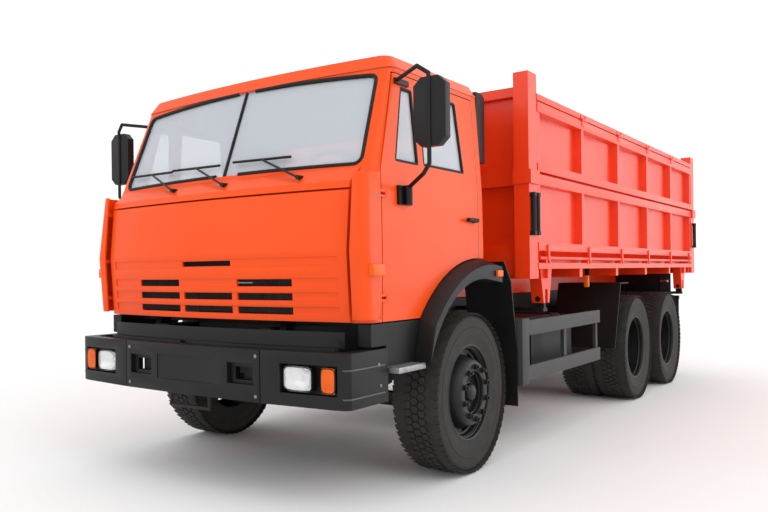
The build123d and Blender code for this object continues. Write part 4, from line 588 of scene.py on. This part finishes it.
# %% Headlamps and indicators
lamp_depths = {
    # how far a grid's point lies in front of the lamp's seat, from its place u, w between -1 and 1
    "bowl": lambda u, w: 0.004 + 0.034 * min(1.0, (u * u + w * w) * 0.75),
    "flutes": lambda u, w: 0.050 - 0.003 * (u * u + w * w) + 0.0012 * math.cos(u * 15 * math.pi),
    "ribs": lambda u, w: 0.034 - 0.003 * (u * u + w * w) + 0.0006 * math.cos(w * 18 * math.pi),
    "flat": lambda u, w: 0.012,
}
reflectors, lenses, ambers = [], [], []
for sign in (1, -1):
    head_x, turn_x = sign * headlamp_x, sign * indicator_x
    reflectors.append(thickened(rounded_grid(head_x, 0.093, 0.066, 6, lamp_depths["bowl"]), 0.002))
    shield = turned([(0.0, 0.0), (0.0, 0.016), (0.018, 0.014), (0.022, 0.0)], 20)
    shield.transform(Matrix.Translation((head_x, lamp_seat_y - 0.008, lamp_middle_z))
                     @ Matrix.Rotation(-math.pi / 2, 4, "Z"))
    reflectors.append(shield)
    fluted = rounded_grid(head_x, 0.095, 0.068, 6, lamp_depths["flutes"], columns=120)
    lenses.append(thickened(fluted, 0.002))
    ribbed = rounded_grid(turn_x, 0.044, 0.068, 8, lamp_depths["ribs"], columns=16, rows=108)
    ambers.append(thickened(ribbed, 0.003))
    ambers.append(thickened(rounded_grid(turn_x, 0.041, 0.065, 8, lamp_depths["flat"]), 0.02))
print("lamp meshes", len(reflectors) + len(lenses) + len(ambers))

# %% [markdown]
# Each lamp's frame is a rounded rim of moulded plastic with a wall that runs back to the bumper.
# The rim's path is a squared circle; the wall joins it to the lamp's seat.

# %% Lamp frames
frames = []
for middle, half, deep in ((headlamp_x, 0.099, 0.049), (indicator_x, 0.048, 0.034)):
    for sign in (1, -1):
        rim = []
        for n in range(rim_points):
            angle = 2 * math.pi * n / rim_points
            c, s = math.cos(angle), math.sin(angle)
            grow_out = (abs(c) ** 6 + abs(s) ** 6) ** (-1 / 6)
            rim.append((sign * middle + c * grow_out * (half - 0.004), lamp_seat_y - deep + 0.004,
                        lamp_middle_z + s * grow_out * (lamp_half_height - 0.004)))
        frames.append(grow(lip, {"Half width": 0.004, "Step": 0.01}, path_of(rim)))
        side = [point for x, y, z in rim for point in ((x, y, z), (x, lamp_seat_y - 0.001, z))]
        wall = bpy.data.meshes.new("frame_wall")
        last = len(side)
        wall.from_pydata(side, [], [(k, k + 1, (k + 3) % last, (k + 2) % last) for k in range(0, last, 2)])
        frames.append(thickened(wall, 0.003))
for name, parts, slot, material in (
        ("lamp_reflectors", reflectors, "lamp_lens", reflector_silver),
        ("headlamp_lenses", lenses, "lamp_lens", clear_lens),
        ("indicator_lenses", ambers, "lamp_lens", amber_lens),
        ("lamp_frames", frames, "black_plastic", polypropylene)):
    piece(name, merged(parts), "chassis", replaces=("lamps",), material=material)
print("lamp pieces", 4)

# %% [markdown]
# The front wheels are pressed steel bowls: a rim with its lock ring, a row of hand holes, then a
# bell that ends in the flat bolting face. The bowl is turned from one half section; where a hand
# hole belongs, the faces between two rings are left out before the sheet gets its thickness.

# %% Front wheel bowl
bowl_section = [
    # across from the tyre's centre, radius
    (0.119, 0.311), (0.122, 0.306), (0.120, 0.300), (0.112, 0.296), (0.104, 0.296), (0.101, 0.290),
    (0.094, 0.290), (0.090, 0.286), (0.075, 0.284), (0.062, 0.280), (0.057, 0.273), (0.056, 0.265),
    (0.058, 0.240), (0.064, 0.232), (0.078, 0.226), (0.104, 0.219), (0.130, 0.211), (0.145, 0.201),
    (0.150, 0.190), (0.151, 0.178), (0.151, 0.152), (0.149, 0.142), (0.142, 0.140), (0.126, 0.140),
]
bowl_steps, bowl_thickness = 144, 0.008
hole_ring, hole_count, hole_steps = 11, 8, 9  # row of the section, holes, steps of 144 that each spans


def steel_bowl():
    """Turned sheet with hand holes left out between two rings, then given its thickness."""
    shape = bmesh.new()
    shape.from_mesh(turned(bowl_section, bowl_steps))
    (across, radius), (next_across, next_radius) = bowl_section[hole_ring:hole_ring + 2]
    gone = []
    for face in shape.faces:
        centre = face.calc_center_median()
        out_by = abs(math.hypot(centre.y, centre.z) - (radius + next_radius) / 2)
        along_by = abs(centre.x - (across + next_across) / 2)
        step = math.atan2(centre.z, centre.y) / (2 * math.pi) * bowl_steps
        if out_by < 0.006 and along_by < 0.003 and step % (bowl_steps / hole_count) < hole_steps:
            gone.append(face)
    bmesh.ops.delete(shape, geom=gone, context="FACES")
    bmesh.ops.recalc_face_normals(shape, faces=shape.faces)
    return thickened(as_mesh(shape, "steel_bowl"), bowl_thickness)


bowl = steel_bowl()
print("bowl faces", len(bowl.polygons))

# %% [markdown]
# The hub shows through the bowl's middle: a plate, a short domed cap held by small screws, and
# behind the hand holes the dark drum. It is one more turned section, closed at the axle.

# %% Hub, drum and cap
hub_section = [
    # across from the tyre's centre, radius
    (0.152, 0.0), (0.152, 0.020), (0.148, 0.040), (0.138, 0.052), (0.124, 0.057), (0.112, 0.059),
    (0.110, 0.070), (0.102, 0.072), (0.101, 0.127), (0.126, 0.130), (0.130, 0.138), (0.100, 0.160),
    (-0.060, 0.170), (-0.075, 0.160), (-0.075, 0.0),
]
hub_mesh = turned(hub_section, 72)


def ring_of(shape_mesh, count, radius, across):
    """Copies of a small mesh in a circle about the X axis."""
    places = [Matrix.Rotation(2 * math.pi * n / count, 4, "X") @ Matrix.Translation((across, 0, radius))
              for n in range(count)]
    return merged([shape_mesh] * count, places)


def hex_nut(width, height, stud_radius, stud_height):
    """Nut along X with a domed collar, a hexagon and the stud's end standing out of it."""
    top = height + stud_height
    collar = turned([(0.0, 0.0), (0.0, width * 0.62), (height * 0.12, width * 0.62),
                     (height * 0.25, width * 0.5)], 24)
    hexagon = turned([(height * 0.2, width * 0.577), (height * 0.9, width * 0.577),
                      (height, width * 0.5), (height, 0.0)], 6)
    stud = turned([(height, stud_radius), (top, stud_radius * 0.85), (top, 0.0)], 12)
    return merged([collar, hexagon, stud])


wheel_nut = hex_nut(0.033, 0.026, 0.011, 0.014)
cap_screw = hex_nut(0.011, 0.006, 0.003, 0.001)
print("hub faces", len(hub_mesh.polygons), "nut faces", len(wheel_nut.polygons))

# %% [markdown]
# Ten nuts hold each wheel on a circle 335 mm across. On the twin wheels the bolting face is deep
# inside, where the solid's own nuts are, so there only the rim's lock rings are added.

# %% Wheels dressed
nut_circle, nut_face = 0.1675, 0.152
cap_circle, cap_face = 0.088, 0.102
front_wheel = merged([bowl, hub_mesh, ring_of(wheel_nut, 10, nut_circle, nut_face),
                      ring_of(cap_screw, 8, cap_circle, cap_face)])
rim_lip = turned([(0.100, 0.2965), (0.104, 0.294), (0.112, 0.296), (0.120, 0.300), (0.122, 0.306),
                  (0.119, 0.311), (0.115, 0.309), (0.110, 0.3085)], 120, closed=True)
lock_ring = turned([(0.064, 0.2965), (0.066, 0.288), (0.074, 0.284), (0.082, 0.288), (0.084, 0.2965)],
                   120, closed=True)
for side, sign in (("left", 1), ("right", -1)):
    for name, offsets, y in wheels:
        outer = max(offsets)
        place = Matrix.Translation((sign * outer, y, axle_height)) @ Matrix.Scale(sign, 4, (1, 0, 0))
        if name == "front":
            piece(f"wheel_{name}_{side}_steel", merged([front_wheel], [place]), f"wheel_{name}_{side}",
                  replaces=(f"wheel_{name}_{side}",), material=wheel_enamel)
        else:
            piece(f"wheel_{name}_{side}_rings", merged([rim_lip, lock_ring], [place, place]),
                  f"wheel_{name}_{side}", material=wheel_enamel)
print("wheels dressed", 6)

# %% [markdown]
# Moulded and pressed things have soft edges, and those edges catch the light. A solid model's
# edges are sharp, so the moulded ones are copied, their flat faces joined again, and every edge
# is given a small radius with a bevel. The copy replaces the solid and keeps its size. The even
# light leaves the rounded edges no brighter than the faces, so they get a paler, glossier finish
# of their own: a painted highlight along every edge.

# %% Soft edges with painted highlights
# Paler, glossier finishes for the rounded edges: painted highlights for the light those edges catch.
highlight_plastic = finish("painted_highlight_polypropylene_edge", "4C4C50", "3C3C3E", 120, 0.6, 0.35, 3, 0.1)
highlight_orange = finish("painted_highlight_orange_edge", "FFA07A", "FA8458", 200, 0.6, 0.3, 6, 0.02)
highlight_red = finish("painted_highlight_red_orange_edge", "FF9A88", "F4705C", 200, 0.6, 0.3, 6, 0.02)
highlight_grey = finish("painted_highlight_grey_edge", "6E6E70", "525254", 200, 0.6, 0.4, 6, 0.02)


def softened(node, radius, limit):
    """Copy of a solid with its edges rounded; the rounding takes the second material."""
    shape = bmesh.new()
    shape.from_mesh(frame["nodes"][node].data)
    bmesh.ops.remove_doubles(shape, verts=shape.verts, dist=weld_distance)
    bmesh.ops.dissolve_limit(shape, angle_limit=math.radians(0.6), verts=shape.verts, edges=shape.edges)
    holder = placed("holder", as_mesh(shape, node + "_soft"))
    edge = holder.modifiers.new("edge", "BEVEL")
    edge.width = radius
    edge.segments = 3
    edge.limit_method = "ANGLE"
    edge.angle_limit = math.radians(limit)
    edge.use_clamp_overlap = True
    # The rounded faces take the second material, the painted highlight.
    edge.material = 1
    return worked(holder)


finishes_with_highlight_edges = {
    # slot: finish, finish of the edges, a paler painted highlight
    "black_plastic": (polypropylene, highlight_plastic), "cab_paint": (cab_enamel, highlight_orange),
    "grille_paint": (cab_enamel, highlight_orange), "amber_lens": (amber_lens, amber_lens),
    "bed_paint": (body_enamel, highlight_red), "chassis_paint": (guard_enamel, highlight_grey),
}
soft_solids = [
    # node, edge radius, body, slot, least angle in degrees at which an edge is rounded
    ("bumper", 0.007, "chassis", "black_plastic", 28),
    ("wheel_arches", 0.008, "cab", "black_plastic", 28),
    ("corner_deflectors", 0.003, "cab", "cab_paint", 28),
    ("front_panel", 0.002, "front_panel", "grille_paint", 6),
    ("door_fittings_left", 0.006, "door_left", "black_plastic", 28),
    ("door_fittings_right", 0.006, "door_right", "black_plastic", 28),
    ("snorkel", 0.006, "cab", "black_plastic", 28),
    ("marker_lamps", 0.004, "cab", "amber_lens", 28),
    ("lower_board_left", 0.003, "lower_board_left", "bed_paint", 28),
    ("lower_board_right", 0.003, "lower_board_right", "bed_paint", 28),
    ("upper_board_left", 0.003, "upper_board_left", "bed_paint", 28),
    ("upper_board_right", 0.003, "upper_board_right", "bed_paint", 28),
    ("bed_top_rails", 0.003, "bed", "bed_paint", 28),
    ("side_guards", 0.004, "chassis", "chassis_paint", 28),
]
for node, radius, body, slot, limit in soft_solids:
    mesh = softened(node, radius, limit)
    mesh.materials.clear()
    for made in finishes_with_highlight_edges[slot]:
        mesh.materials.append(made)
    piece(node + "_dressed", mesh, body, replaces=(node,), tidy=False)
    print(node, "faces", len(mesh.polygons))

# %% [markdown]
# Behind the grille's slots stands the radiator: upright fins so close that only a dark shimmer
# shows. A tree copies one thin fin along a line with a set pitch. The fins are drawn three times
# as far apart as real ones, so that they can be seen at all.

# %% Radiator fins
fins, sizes = new_tree("radiator_fins", {"Width": 1.28, "Height": 0.33, "Pitch": 0.009, "Depth": 0.006})
fin_size = out(fins, "ShaderNodeCombineXYZ", {"X": 0.0015}, {"Y": sizes["Depth"], "Z": sizes["Height"]})
fin = out(fins, "GeometryNodeMeshCube", {}, {"Size": fin_size})
count = maths(fins, "DIVIDE", sizes["Width"], sizes["Pitch"])
step = out(fins, "ShaderNodeCombineXYZ", {}, {"X": sizes["Pitch"]})
start = out(fins, "ShaderNodeCombineXYZ", {}, {"X": maths(fins, "MULTIPLY", sizes["Width"], -0.5)})
line = out(fins, "GeometryNodeMeshLine", {},
           {"Count": count, "Start Location": start, "Offset": step})
row = out(fins, "GeometryNodeInstanceOnPoints", {}, {"Points": line, "Instance": fin})
end_tree(fins, row, cast_iron)
core = grow(fins)
core_front, core_height, core_bow, bow_half_width = -3.6345, 1.24, 0.078, 1.085
for vertex in core.vertices:
    vertex.co.y += core_front - core_bow * (1 - (vertex.co.x / bow_half_width) ** 2)
    vertex.co.z += core_height
piece("radiator_fins", core, "cab", tidy=False, smooth=False)
print("fin faces", len(core.polygons))

# %% [markdown]
# Plates, straps and blocks with rounded edges all come from one function, from here to the seats.
# The first is the black apron that closes the gap under the cab's nose.

# %% Rounded boxes and the nose apron
def box_mesh(x0, x1, y0, y1, z0, z1, radius=0.002):
    """Box with rounded edges, for plates and straps."""
    shape = bmesh.new()
    bmesh.ops.create_cube(shape, size=1.0)
    for v in shape.verts:
        v.co = (x0 + (v.co.x + 0.5) * (x1 - x0), y0 + (v.co.y + 0.5) * (y1 - y0),
                z0 + (v.co.z + 0.5) * (z1 - z0))
    bmesh.ops.bevel(shape, geom=shape.edges[:], offset=radius, segments=2, affect="EDGES", profile=0.5)
    return as_mesh(shape, "box")


apron = box_mesh(-0.92, 0.92, -3.43, -3.424, 0.985, 1.027)
piece("nose_apron", apron, "cab", material=chassis_enamel)
print("apron faces", len(apron.polygons))

# %% [markdown]
# The tread under each door is a folded plate of rolled aluminium with lens-shaped lugs, each
# turned a quarter from its neighbours. A grid gives the places, and the sum of a place's row and
# column, odd or even, gives the turn.

# %% Chequered treads
chequer, sizes = new_tree("chequer_lugs", {
    "Length": 0.2, "Width": 0.28, "Columns": 10, "Rows": 14, "Lug": (0.0105, 0.0032, 0.0018)})
places = out(chequer, "GeometryNodeMeshGrid", {},
             {"Size X": sizes["Length"], "Size Y": sizes["Width"],
              "Vertices X": sizes["Columns"], "Vertices Y": sizes["Rows"]})
lug = out(chequer, "GeometryNodeMeshUVSphere", {"Segments": 8, "Rings": 5, "Radius": 1.0})
number = out(chequer, "GeometryNodeInputIndex")
column = maths(chequer, "FLOOR", maths(chequer, "DIVIDE", number, sizes["Rows"]))
odd = maths(chequer, "MODULO", maths(chequer, "ADD", column, number), 2.0)
turn = maths(chequer, "MULTIPLY_ADD", odd, math.pi / 2, math.pi / 4)
turned_by = out(chequer, "ShaderNodeCombineXYZ", {}, {"Z": turn})
lugs = out(chequer, "GeometryNodeInstanceOnPoints", {},
           {"Points": places, "Instance": lug, "Rotation": turned_by,
            "Scale": sizes["Lug"]})
end_tree(chequer, lugs, chequer_alloy)
lug_field = grow(chequer)
steps = []
for sign in (1, -1):
    x0, x1 = sorted((sign * 0.944, sign * 1.166))
    steps.append(box_mesh(x0, x1, -3.4175, -3.1095, 0.738, 0.771, 0.003))
    steps.append(merged([lug_field], [Matrix.Translation((sign * 1.055, -3.2635, 0.7712))]))
piece("chequered_treads", merged(steps), "cab", material=chequer_alloy)
print("lug faces", len(lug_field.polygons))

# %% [markdown]
# Small fasteners finish the moulded parts: domed screws beside the bumper's seams and on its
# ends, and on the corner fairings. Each is a turned dome with a slot ring, set on the surface and
# facing outwards. Two pressed ribs run round each end of the bumper, drawn in the pale edge
# finish as a painted highlight.

# %% Screws and pressed ribs
dome = turned([(0.0, 0.011), (0.0015, 0.011), (0.0045, 0.008), (0.0055, 0.0055), (0.004, 0.0045),
               (0.004, 0.0)], 16)
facing_front = Matrix.Rotation(-math.pi / 2, 4, "Z")
bumper_screws, cab_screws = [], []
for sign in (1, -1):
    side_turn = Matrix.Identity(4) if sign > 0 else Matrix.Rotation(math.pi, 4, "Z")
    for z in (0.842, 0.616):
        bumper_screws.append(Matrix.Translation((sign * 0.53, -3.9002, z)) @ facing_front)
    bumper_screws.append(Matrix.Translation((sign * 1.1045, -3.5305, 0.796)) @ side_turn)
    bumper_screws.append(Matrix.Translation((sign * 1.1045, -3.5125, 0.680)) @ side_turn)
    for z in (1.719, 1.152):
        cab_screws.append(Matrix.Translation((sign * 1.108, -3.5335, z)) @ side_turn)
for name, places, body in (("bumper_screws", bumper_screws, "chassis"),
                           ("fairing_screws", cab_screws, "cab")):
    piece(name, merged([dome] * len(places), places), body, material=bare_steel)
rib_route = [(1.070, -3.8335), (1.085, -3.8285), (1.100, -3.812), (1.105, -3.8035), (1.105, -3.60),
             (1.104, -3.47)]
ribs = []
for sign in (1, -1):
    for z in (0.791, 0.640):
        bend = path_of([(sign * x, y, z) for x, y in rib_route], closed=False)
        ribs.append(grow(lip, {"Half width": 0.0045, "Step": 0.012}, bend))
# The ribs take the pale edge finish: a painted highlight along each rib.
piece("bumper_ribs", merged(ribs), "chassis", material=highlight_plastic)
print("screws", len(bumper_screws) + len(cab_screws))

# %% [markdown]
# The mirror glass is a silvered pane with cut corners, set in the back of each housing. The tail
# lamps get a red lens with an amber end, each a box with rounded edges, close to the solid.

# %% Mirror glass and tail lenses
mirror_x, mirror_y, mirror_z = 1.310, -3.2495, 2.190
mirror_outline = [(-0.086, -0.135), (-0.046, -0.180), (0.046, -0.180), (0.086, -0.135),
                  (0.086, 0.135), (0.046, 0.180), (-0.046, 0.180), (-0.086, 0.135)]
for side, sign in (("left", 1), ("right", -1)):
    shape = bmesh.new()
    shape.faces.new([shape.verts.new((sign * mirror_x + x, mirror_y, mirror_z + z))
                     for x, z in mirror_outline])
    pane = thickened(as_mesh(shape, "mirror_pane"), 0.003)
    piece(f"mirror_{side}_glass", pane, "door_" + side, material=mirror_silver, smooth=False)
tail_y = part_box("rear_bar")[1][1]
tail_x = 0.9
for name, material, low, high in (("tail_lens_red", red_lens, -0.165, 0.055),
                                  ("tail_lens_amber", amber_lens, 0.062, 0.165)):
    panes = []
    for sign in (1, -1):
        x0, x1 = sorted((sign * (tail_x + low), sign * (tail_x + high)))
        panes.append(box_mesh(x0, x1, tail_y - 0.052, tail_y - 0.002, 0.82, 0.92, 0.004))
    piece(name, merged(panes), "chassis", material=material)
print("tail lens at y", round(tail_y, 3))

# %% [markdown]
# Behind the last wheels a black board closes the space under the body on each side, at the
# frame rail: a dark sheet of painted shade where the underside lies in shadow. It carries a small
# white reflector. A side lamp hangs from the body's edge on a folded bracket, on both sides.

# %% Painted shade boards, reflectors and side lamps
boards, whites, hangers, side_ambers = [], [], [], []
for sign in (1, -1):
    x0, x1 = sorted((sign * 0.43, sign * 1.10))
    # Dark boards standing in for the shade under the body.
    boards.append(box_mesh(x0, x1, 3.296, 3.302, 0.93, 1.285))
    for x in (0.56, 0.98):
        boards.append(box_mesh(sign * x - 0.02, sign * x + 0.02, 3.290, 3.297, 0.95, 1.275))
    middle = sign * 1.03
    whites.append(box_mesh(middle - 0.045, middle + 0.045, 3.289, 3.296, 1.126, 1.160, 0.003))
    x0, x1 = sorted((sign * 1.185, sign * 1.225))
    hangers.append(box_mesh(x0, x1, -0.262, -0.258, 1.150, 1.316, 0.001))
    side_ambers.append(box_mesh(x0, x1, -0.290, -0.262, 1.150, 1.250, 0.006))
for name, parts, body, slot, material in (
        ("shade_boards_under_body", boards, "chassis", "black_plastic", polypropylene),
        ("white_reflectors", whites, "chassis", "lamp_lens", reflector_silver),
        ("side_lamp_hangers", hangers, "bed", "chassis_paint", chassis_enamel),
        ("side_lamps", side_ambers, "bed", "amber_lens", amber_lens)):
    piece(name, merged(parts), body, material=material)
print("painted shade boards", 2, "side lamps", 2)

# %% [markdown]
# A seat cushion is foam under tight cloth: it swells in the middle and pulls in at its corners.
# The swelling is simulated. The plain block is remeshed into small even faces, cloth with air
# pressure inside blows it up a little with gravity off, and no point may move further than a cap.

# %% Blowing up a cushion
air_pressure = 4.0
longest_way = 0.024
foam_face = 0.009


def swollen(mesh):
    """Padded form of a closed block, by a short cloth simulation with a cap on each point's way."""
    holder = placed("holder", mesh)
    remesh = holder.modifiers.new("even", "REMESH")
    remesh.mode = "VOXEL"
    remesh.voxel_size = foam_face
    even = worked(holder, keep=True)
    holder.modifiers.clear()
    holder.data = even
    start = [v.co.copy() for v in even.vertices]
    cloth = holder.modifiers.new("cloth", "CLOTH")
    cloth.settings.use_pressure = True
    cloth.settings.uniform_pressure_force = air_pressure
    cloth.settings.effector_weights.gravity = 0.0
    cloth.settings.quality = 5
    cloth.point_cache.frame_end = 20
    for frame_number in range(1, 17):
        bpy.context.scene.frame_set(frame_number)
    seen = holder.evaluated_get(bpy.context.evaluated_depsgraph_get())
    ends = [v.co.copy() for v in seen.data.vertices]
    bpy.context.scene.frame_set(1)
    holder.modifiers.clear()
    for v, a, b in zip(even.vertices, start, ends):
        way = b - a
        v.co = a + way * min(1.0, longest_way / max(way.length, 1e-9))
    smooth = holder.modifiers.new("smooth", "CORRECTIVE_SMOOTH")
    smooth.iterations = 4
    return worked(holder)


def pad_block(x0, x1, y0, y1, z0, z1, lean=0.0, radius=0.03):
    """Starting block of a pad, its upper end moved back by lean."""
    mesh = box_mesh(x0, x1, y0, y1, z0, z1, radius)
    for v in mesh.vertices:
        v.co.y += lean * (v.co.z - z0) / (z1 - z0)
    return mesh


cushion = swollen(pad_block(-0.232, 0.232, -0.250, 0.250, -0.052, 0.052))
backrest = swollen(pad_block(-0.224, 0.224, -0.034, 0.034, -0.27, 0.27, lean=0.085))
print("cushion points", len(cushion.vertices), "back points", len(backrest.vertices))

# %% [markdown]
# Three seats use the same pads, the middle one narrower. Each cushion and back is a padded piece
# of its own, with a piped seam round it, and the three stand on plain moulded plinths.

# %% Three seats
def seam_loop(half_x, half_z, corner, lean, y):
    """Closed path round a pad in the X-Z plane, corners rounded."""
    path = []
    for cx, cz, start in ((1, 1, 0), (-1, 1, 90), (-1, -1, 180), (1, -1, 270)):
        for step in range(0, 91, 15):
            angle = math.radians(start + step)
            x = cx * (half_x - corner) + corner * math.cos(angle)
            z = cz * (half_z - corner) + corner * math.sin(angle)
            path.append((x, y + lean * (z + half_z) / (2 * half_z), z))
    return path_of(path)


thin_lip = {"Half width": 0.004, "Step": 0.012}
seam_front = grow(lip, thin_lip, seam_loop(0.196, 0.245, 0.05, 0.085, -0.050))
seam_top = grow(lip, thin_lip, seam_loop(0.200, 0.215, 0.05, 0.0, 0.0))
seam_top.transform(Matrix.Translation((0, 0, 0.068)) @ Matrix.Rotation(math.pi / 2, 4, "X"))
full_width = 0.5
seat_table = [(0.560, 0.5), (-0.560, 0.5), (0.0, 0.36)]  # middle, width
plinths, seams = [], []
for number, (x, width) in enumerate(seat_table, start=1):
    narrow = Matrix.Scale(width / full_width, 4, (1, 0, 0))
    low = Matrix.Translation((x, -2.5985, 1.552)) @ narrow
    high = Matrix.Translation((x, -2.3235, 1.900)) @ narrow
    for name, pad, place in (("seat_cushion", cushion, low), ("seat_back", backrest, high)):
        made = piece(f"{name}_{number}", merged([pad], [place]), "cab", replaces=("seats",),
                     material=seat_cloth, tidy=False)
    seams += [merged([seam_top], [low]), merged([seam_front], [high])]
    half = width / 2 - 0.062
    plinths.append(box_mesh(x - half, x + half, -2.810, -2.360, 1.301, 1.495, 0.012))
    plinths.append(box_mesh(x - half - 0.03, x + half + 0.03, -2.840, -2.350, 1.478, 1.496, 0.006))
piece("seat_seams", merged(seams), "cab", replaces=("seats",), material=seal_rubber)
piece("seat_plinths", merged(plinths), "cab", replaces=("seats",), material=soft_trim)
print("seats", len(seat_table))

# %% [markdown]
# The studio is a plain pale floor that runs out of sight under a white sky, so the truck stands in
# soft light from all round. Two large soft lamps on the left, one high and one level with the
# body, give the paint its long highlights, and a weak one fills the front. The floor is stage,
# not part of the truck. The plain view transform shows the enamel as it is on the paint card.

# %% Floor, sky and lamps
floor_shape = bmesh.new()
bmesh.ops.create_grid(floor_shape, x_segments=8, y_segments=8, size=60.0)
floor_mesh = as_mesh(floor_shape, "floor")
floor_mesh.materials.append(finish("pale_studio_floor", "F4F4F4", "EFEFEF", 4000, 0.3, 0.85, 200, 0.01))
placed("floor", floor_mesh)

sky = bpy.data.worlds.new("white_sky")
sky.use_nodes = True
background = sky.node_tree.nodes["Background"].inputs
background["Color"].default_value = (1, 1, 1, 1)
background["Strength"].default_value = 1.12
bpy.context.scene.world = sky
bpy.context.scene.view_settings.view_transform = "Standard"


def soft_lamp(name, at, towards, width, height, power):
    """Rectangular area lamp that looks at a point."""
    lamp = bpy.data.lights.new(name, "AREA")
    lamp.shape = "RECTANGLE"
    lamp.size = width
    lamp.size_y = height
    lamp.energy = power
    made = placed(name, lamp)
    made.location = at
    made.rotation_euler = (Vector(towards) - Vector(at)).to_track_quat("-Z", "Y").to_euler()


soft_lamp("high_left", (9, -6, 9), (0, -1, 1.4), 8, 6, 200)
soft_lamp("side_left", (13, 10, 4.5), (0, 1, 1.6), 14, 8, 330)
soft_lamp("front_fill", (-4, -12, 5), (0, -3, 1.4), 6, 4, 40)
print("lamps", 3)

# %% [markdown]
# The camera stands in front of the truck's left corner, held at chest height and level with the
# ground. Its place and lens were worked out from the sizes of the wheels and the cab; the small
# shift only frames the picture.

# %% Camera
lens = bpy.data.cameras.new("camera")
lens.sensor_width = 36
lens.lens = 36.415
lens.shift_x = 0.1588
lens.shift_y = 0.0229
camera = placed("camera", lens)
eye = (3.334, -7.2015, 1.309)
yaw, pitch, roll = math.radians(39.75), math.radians(-0.08), math.radians(-0.69)
look = Vector((-math.sin(yaw) * math.cos(pitch), math.cos(yaw) * math.cos(pitch), math.sin(pitch)))
camera.matrix_world = (Matrix.Translation(eye) @ look.to_track_quat("-Z", "Y").to_matrix().to_4x4()
                       @ Matrix.Rotation(roll, 4, "Z"))
bpy.context.scene.camera = camera
print("camera at", [round(v, 3) for v in camera.location])
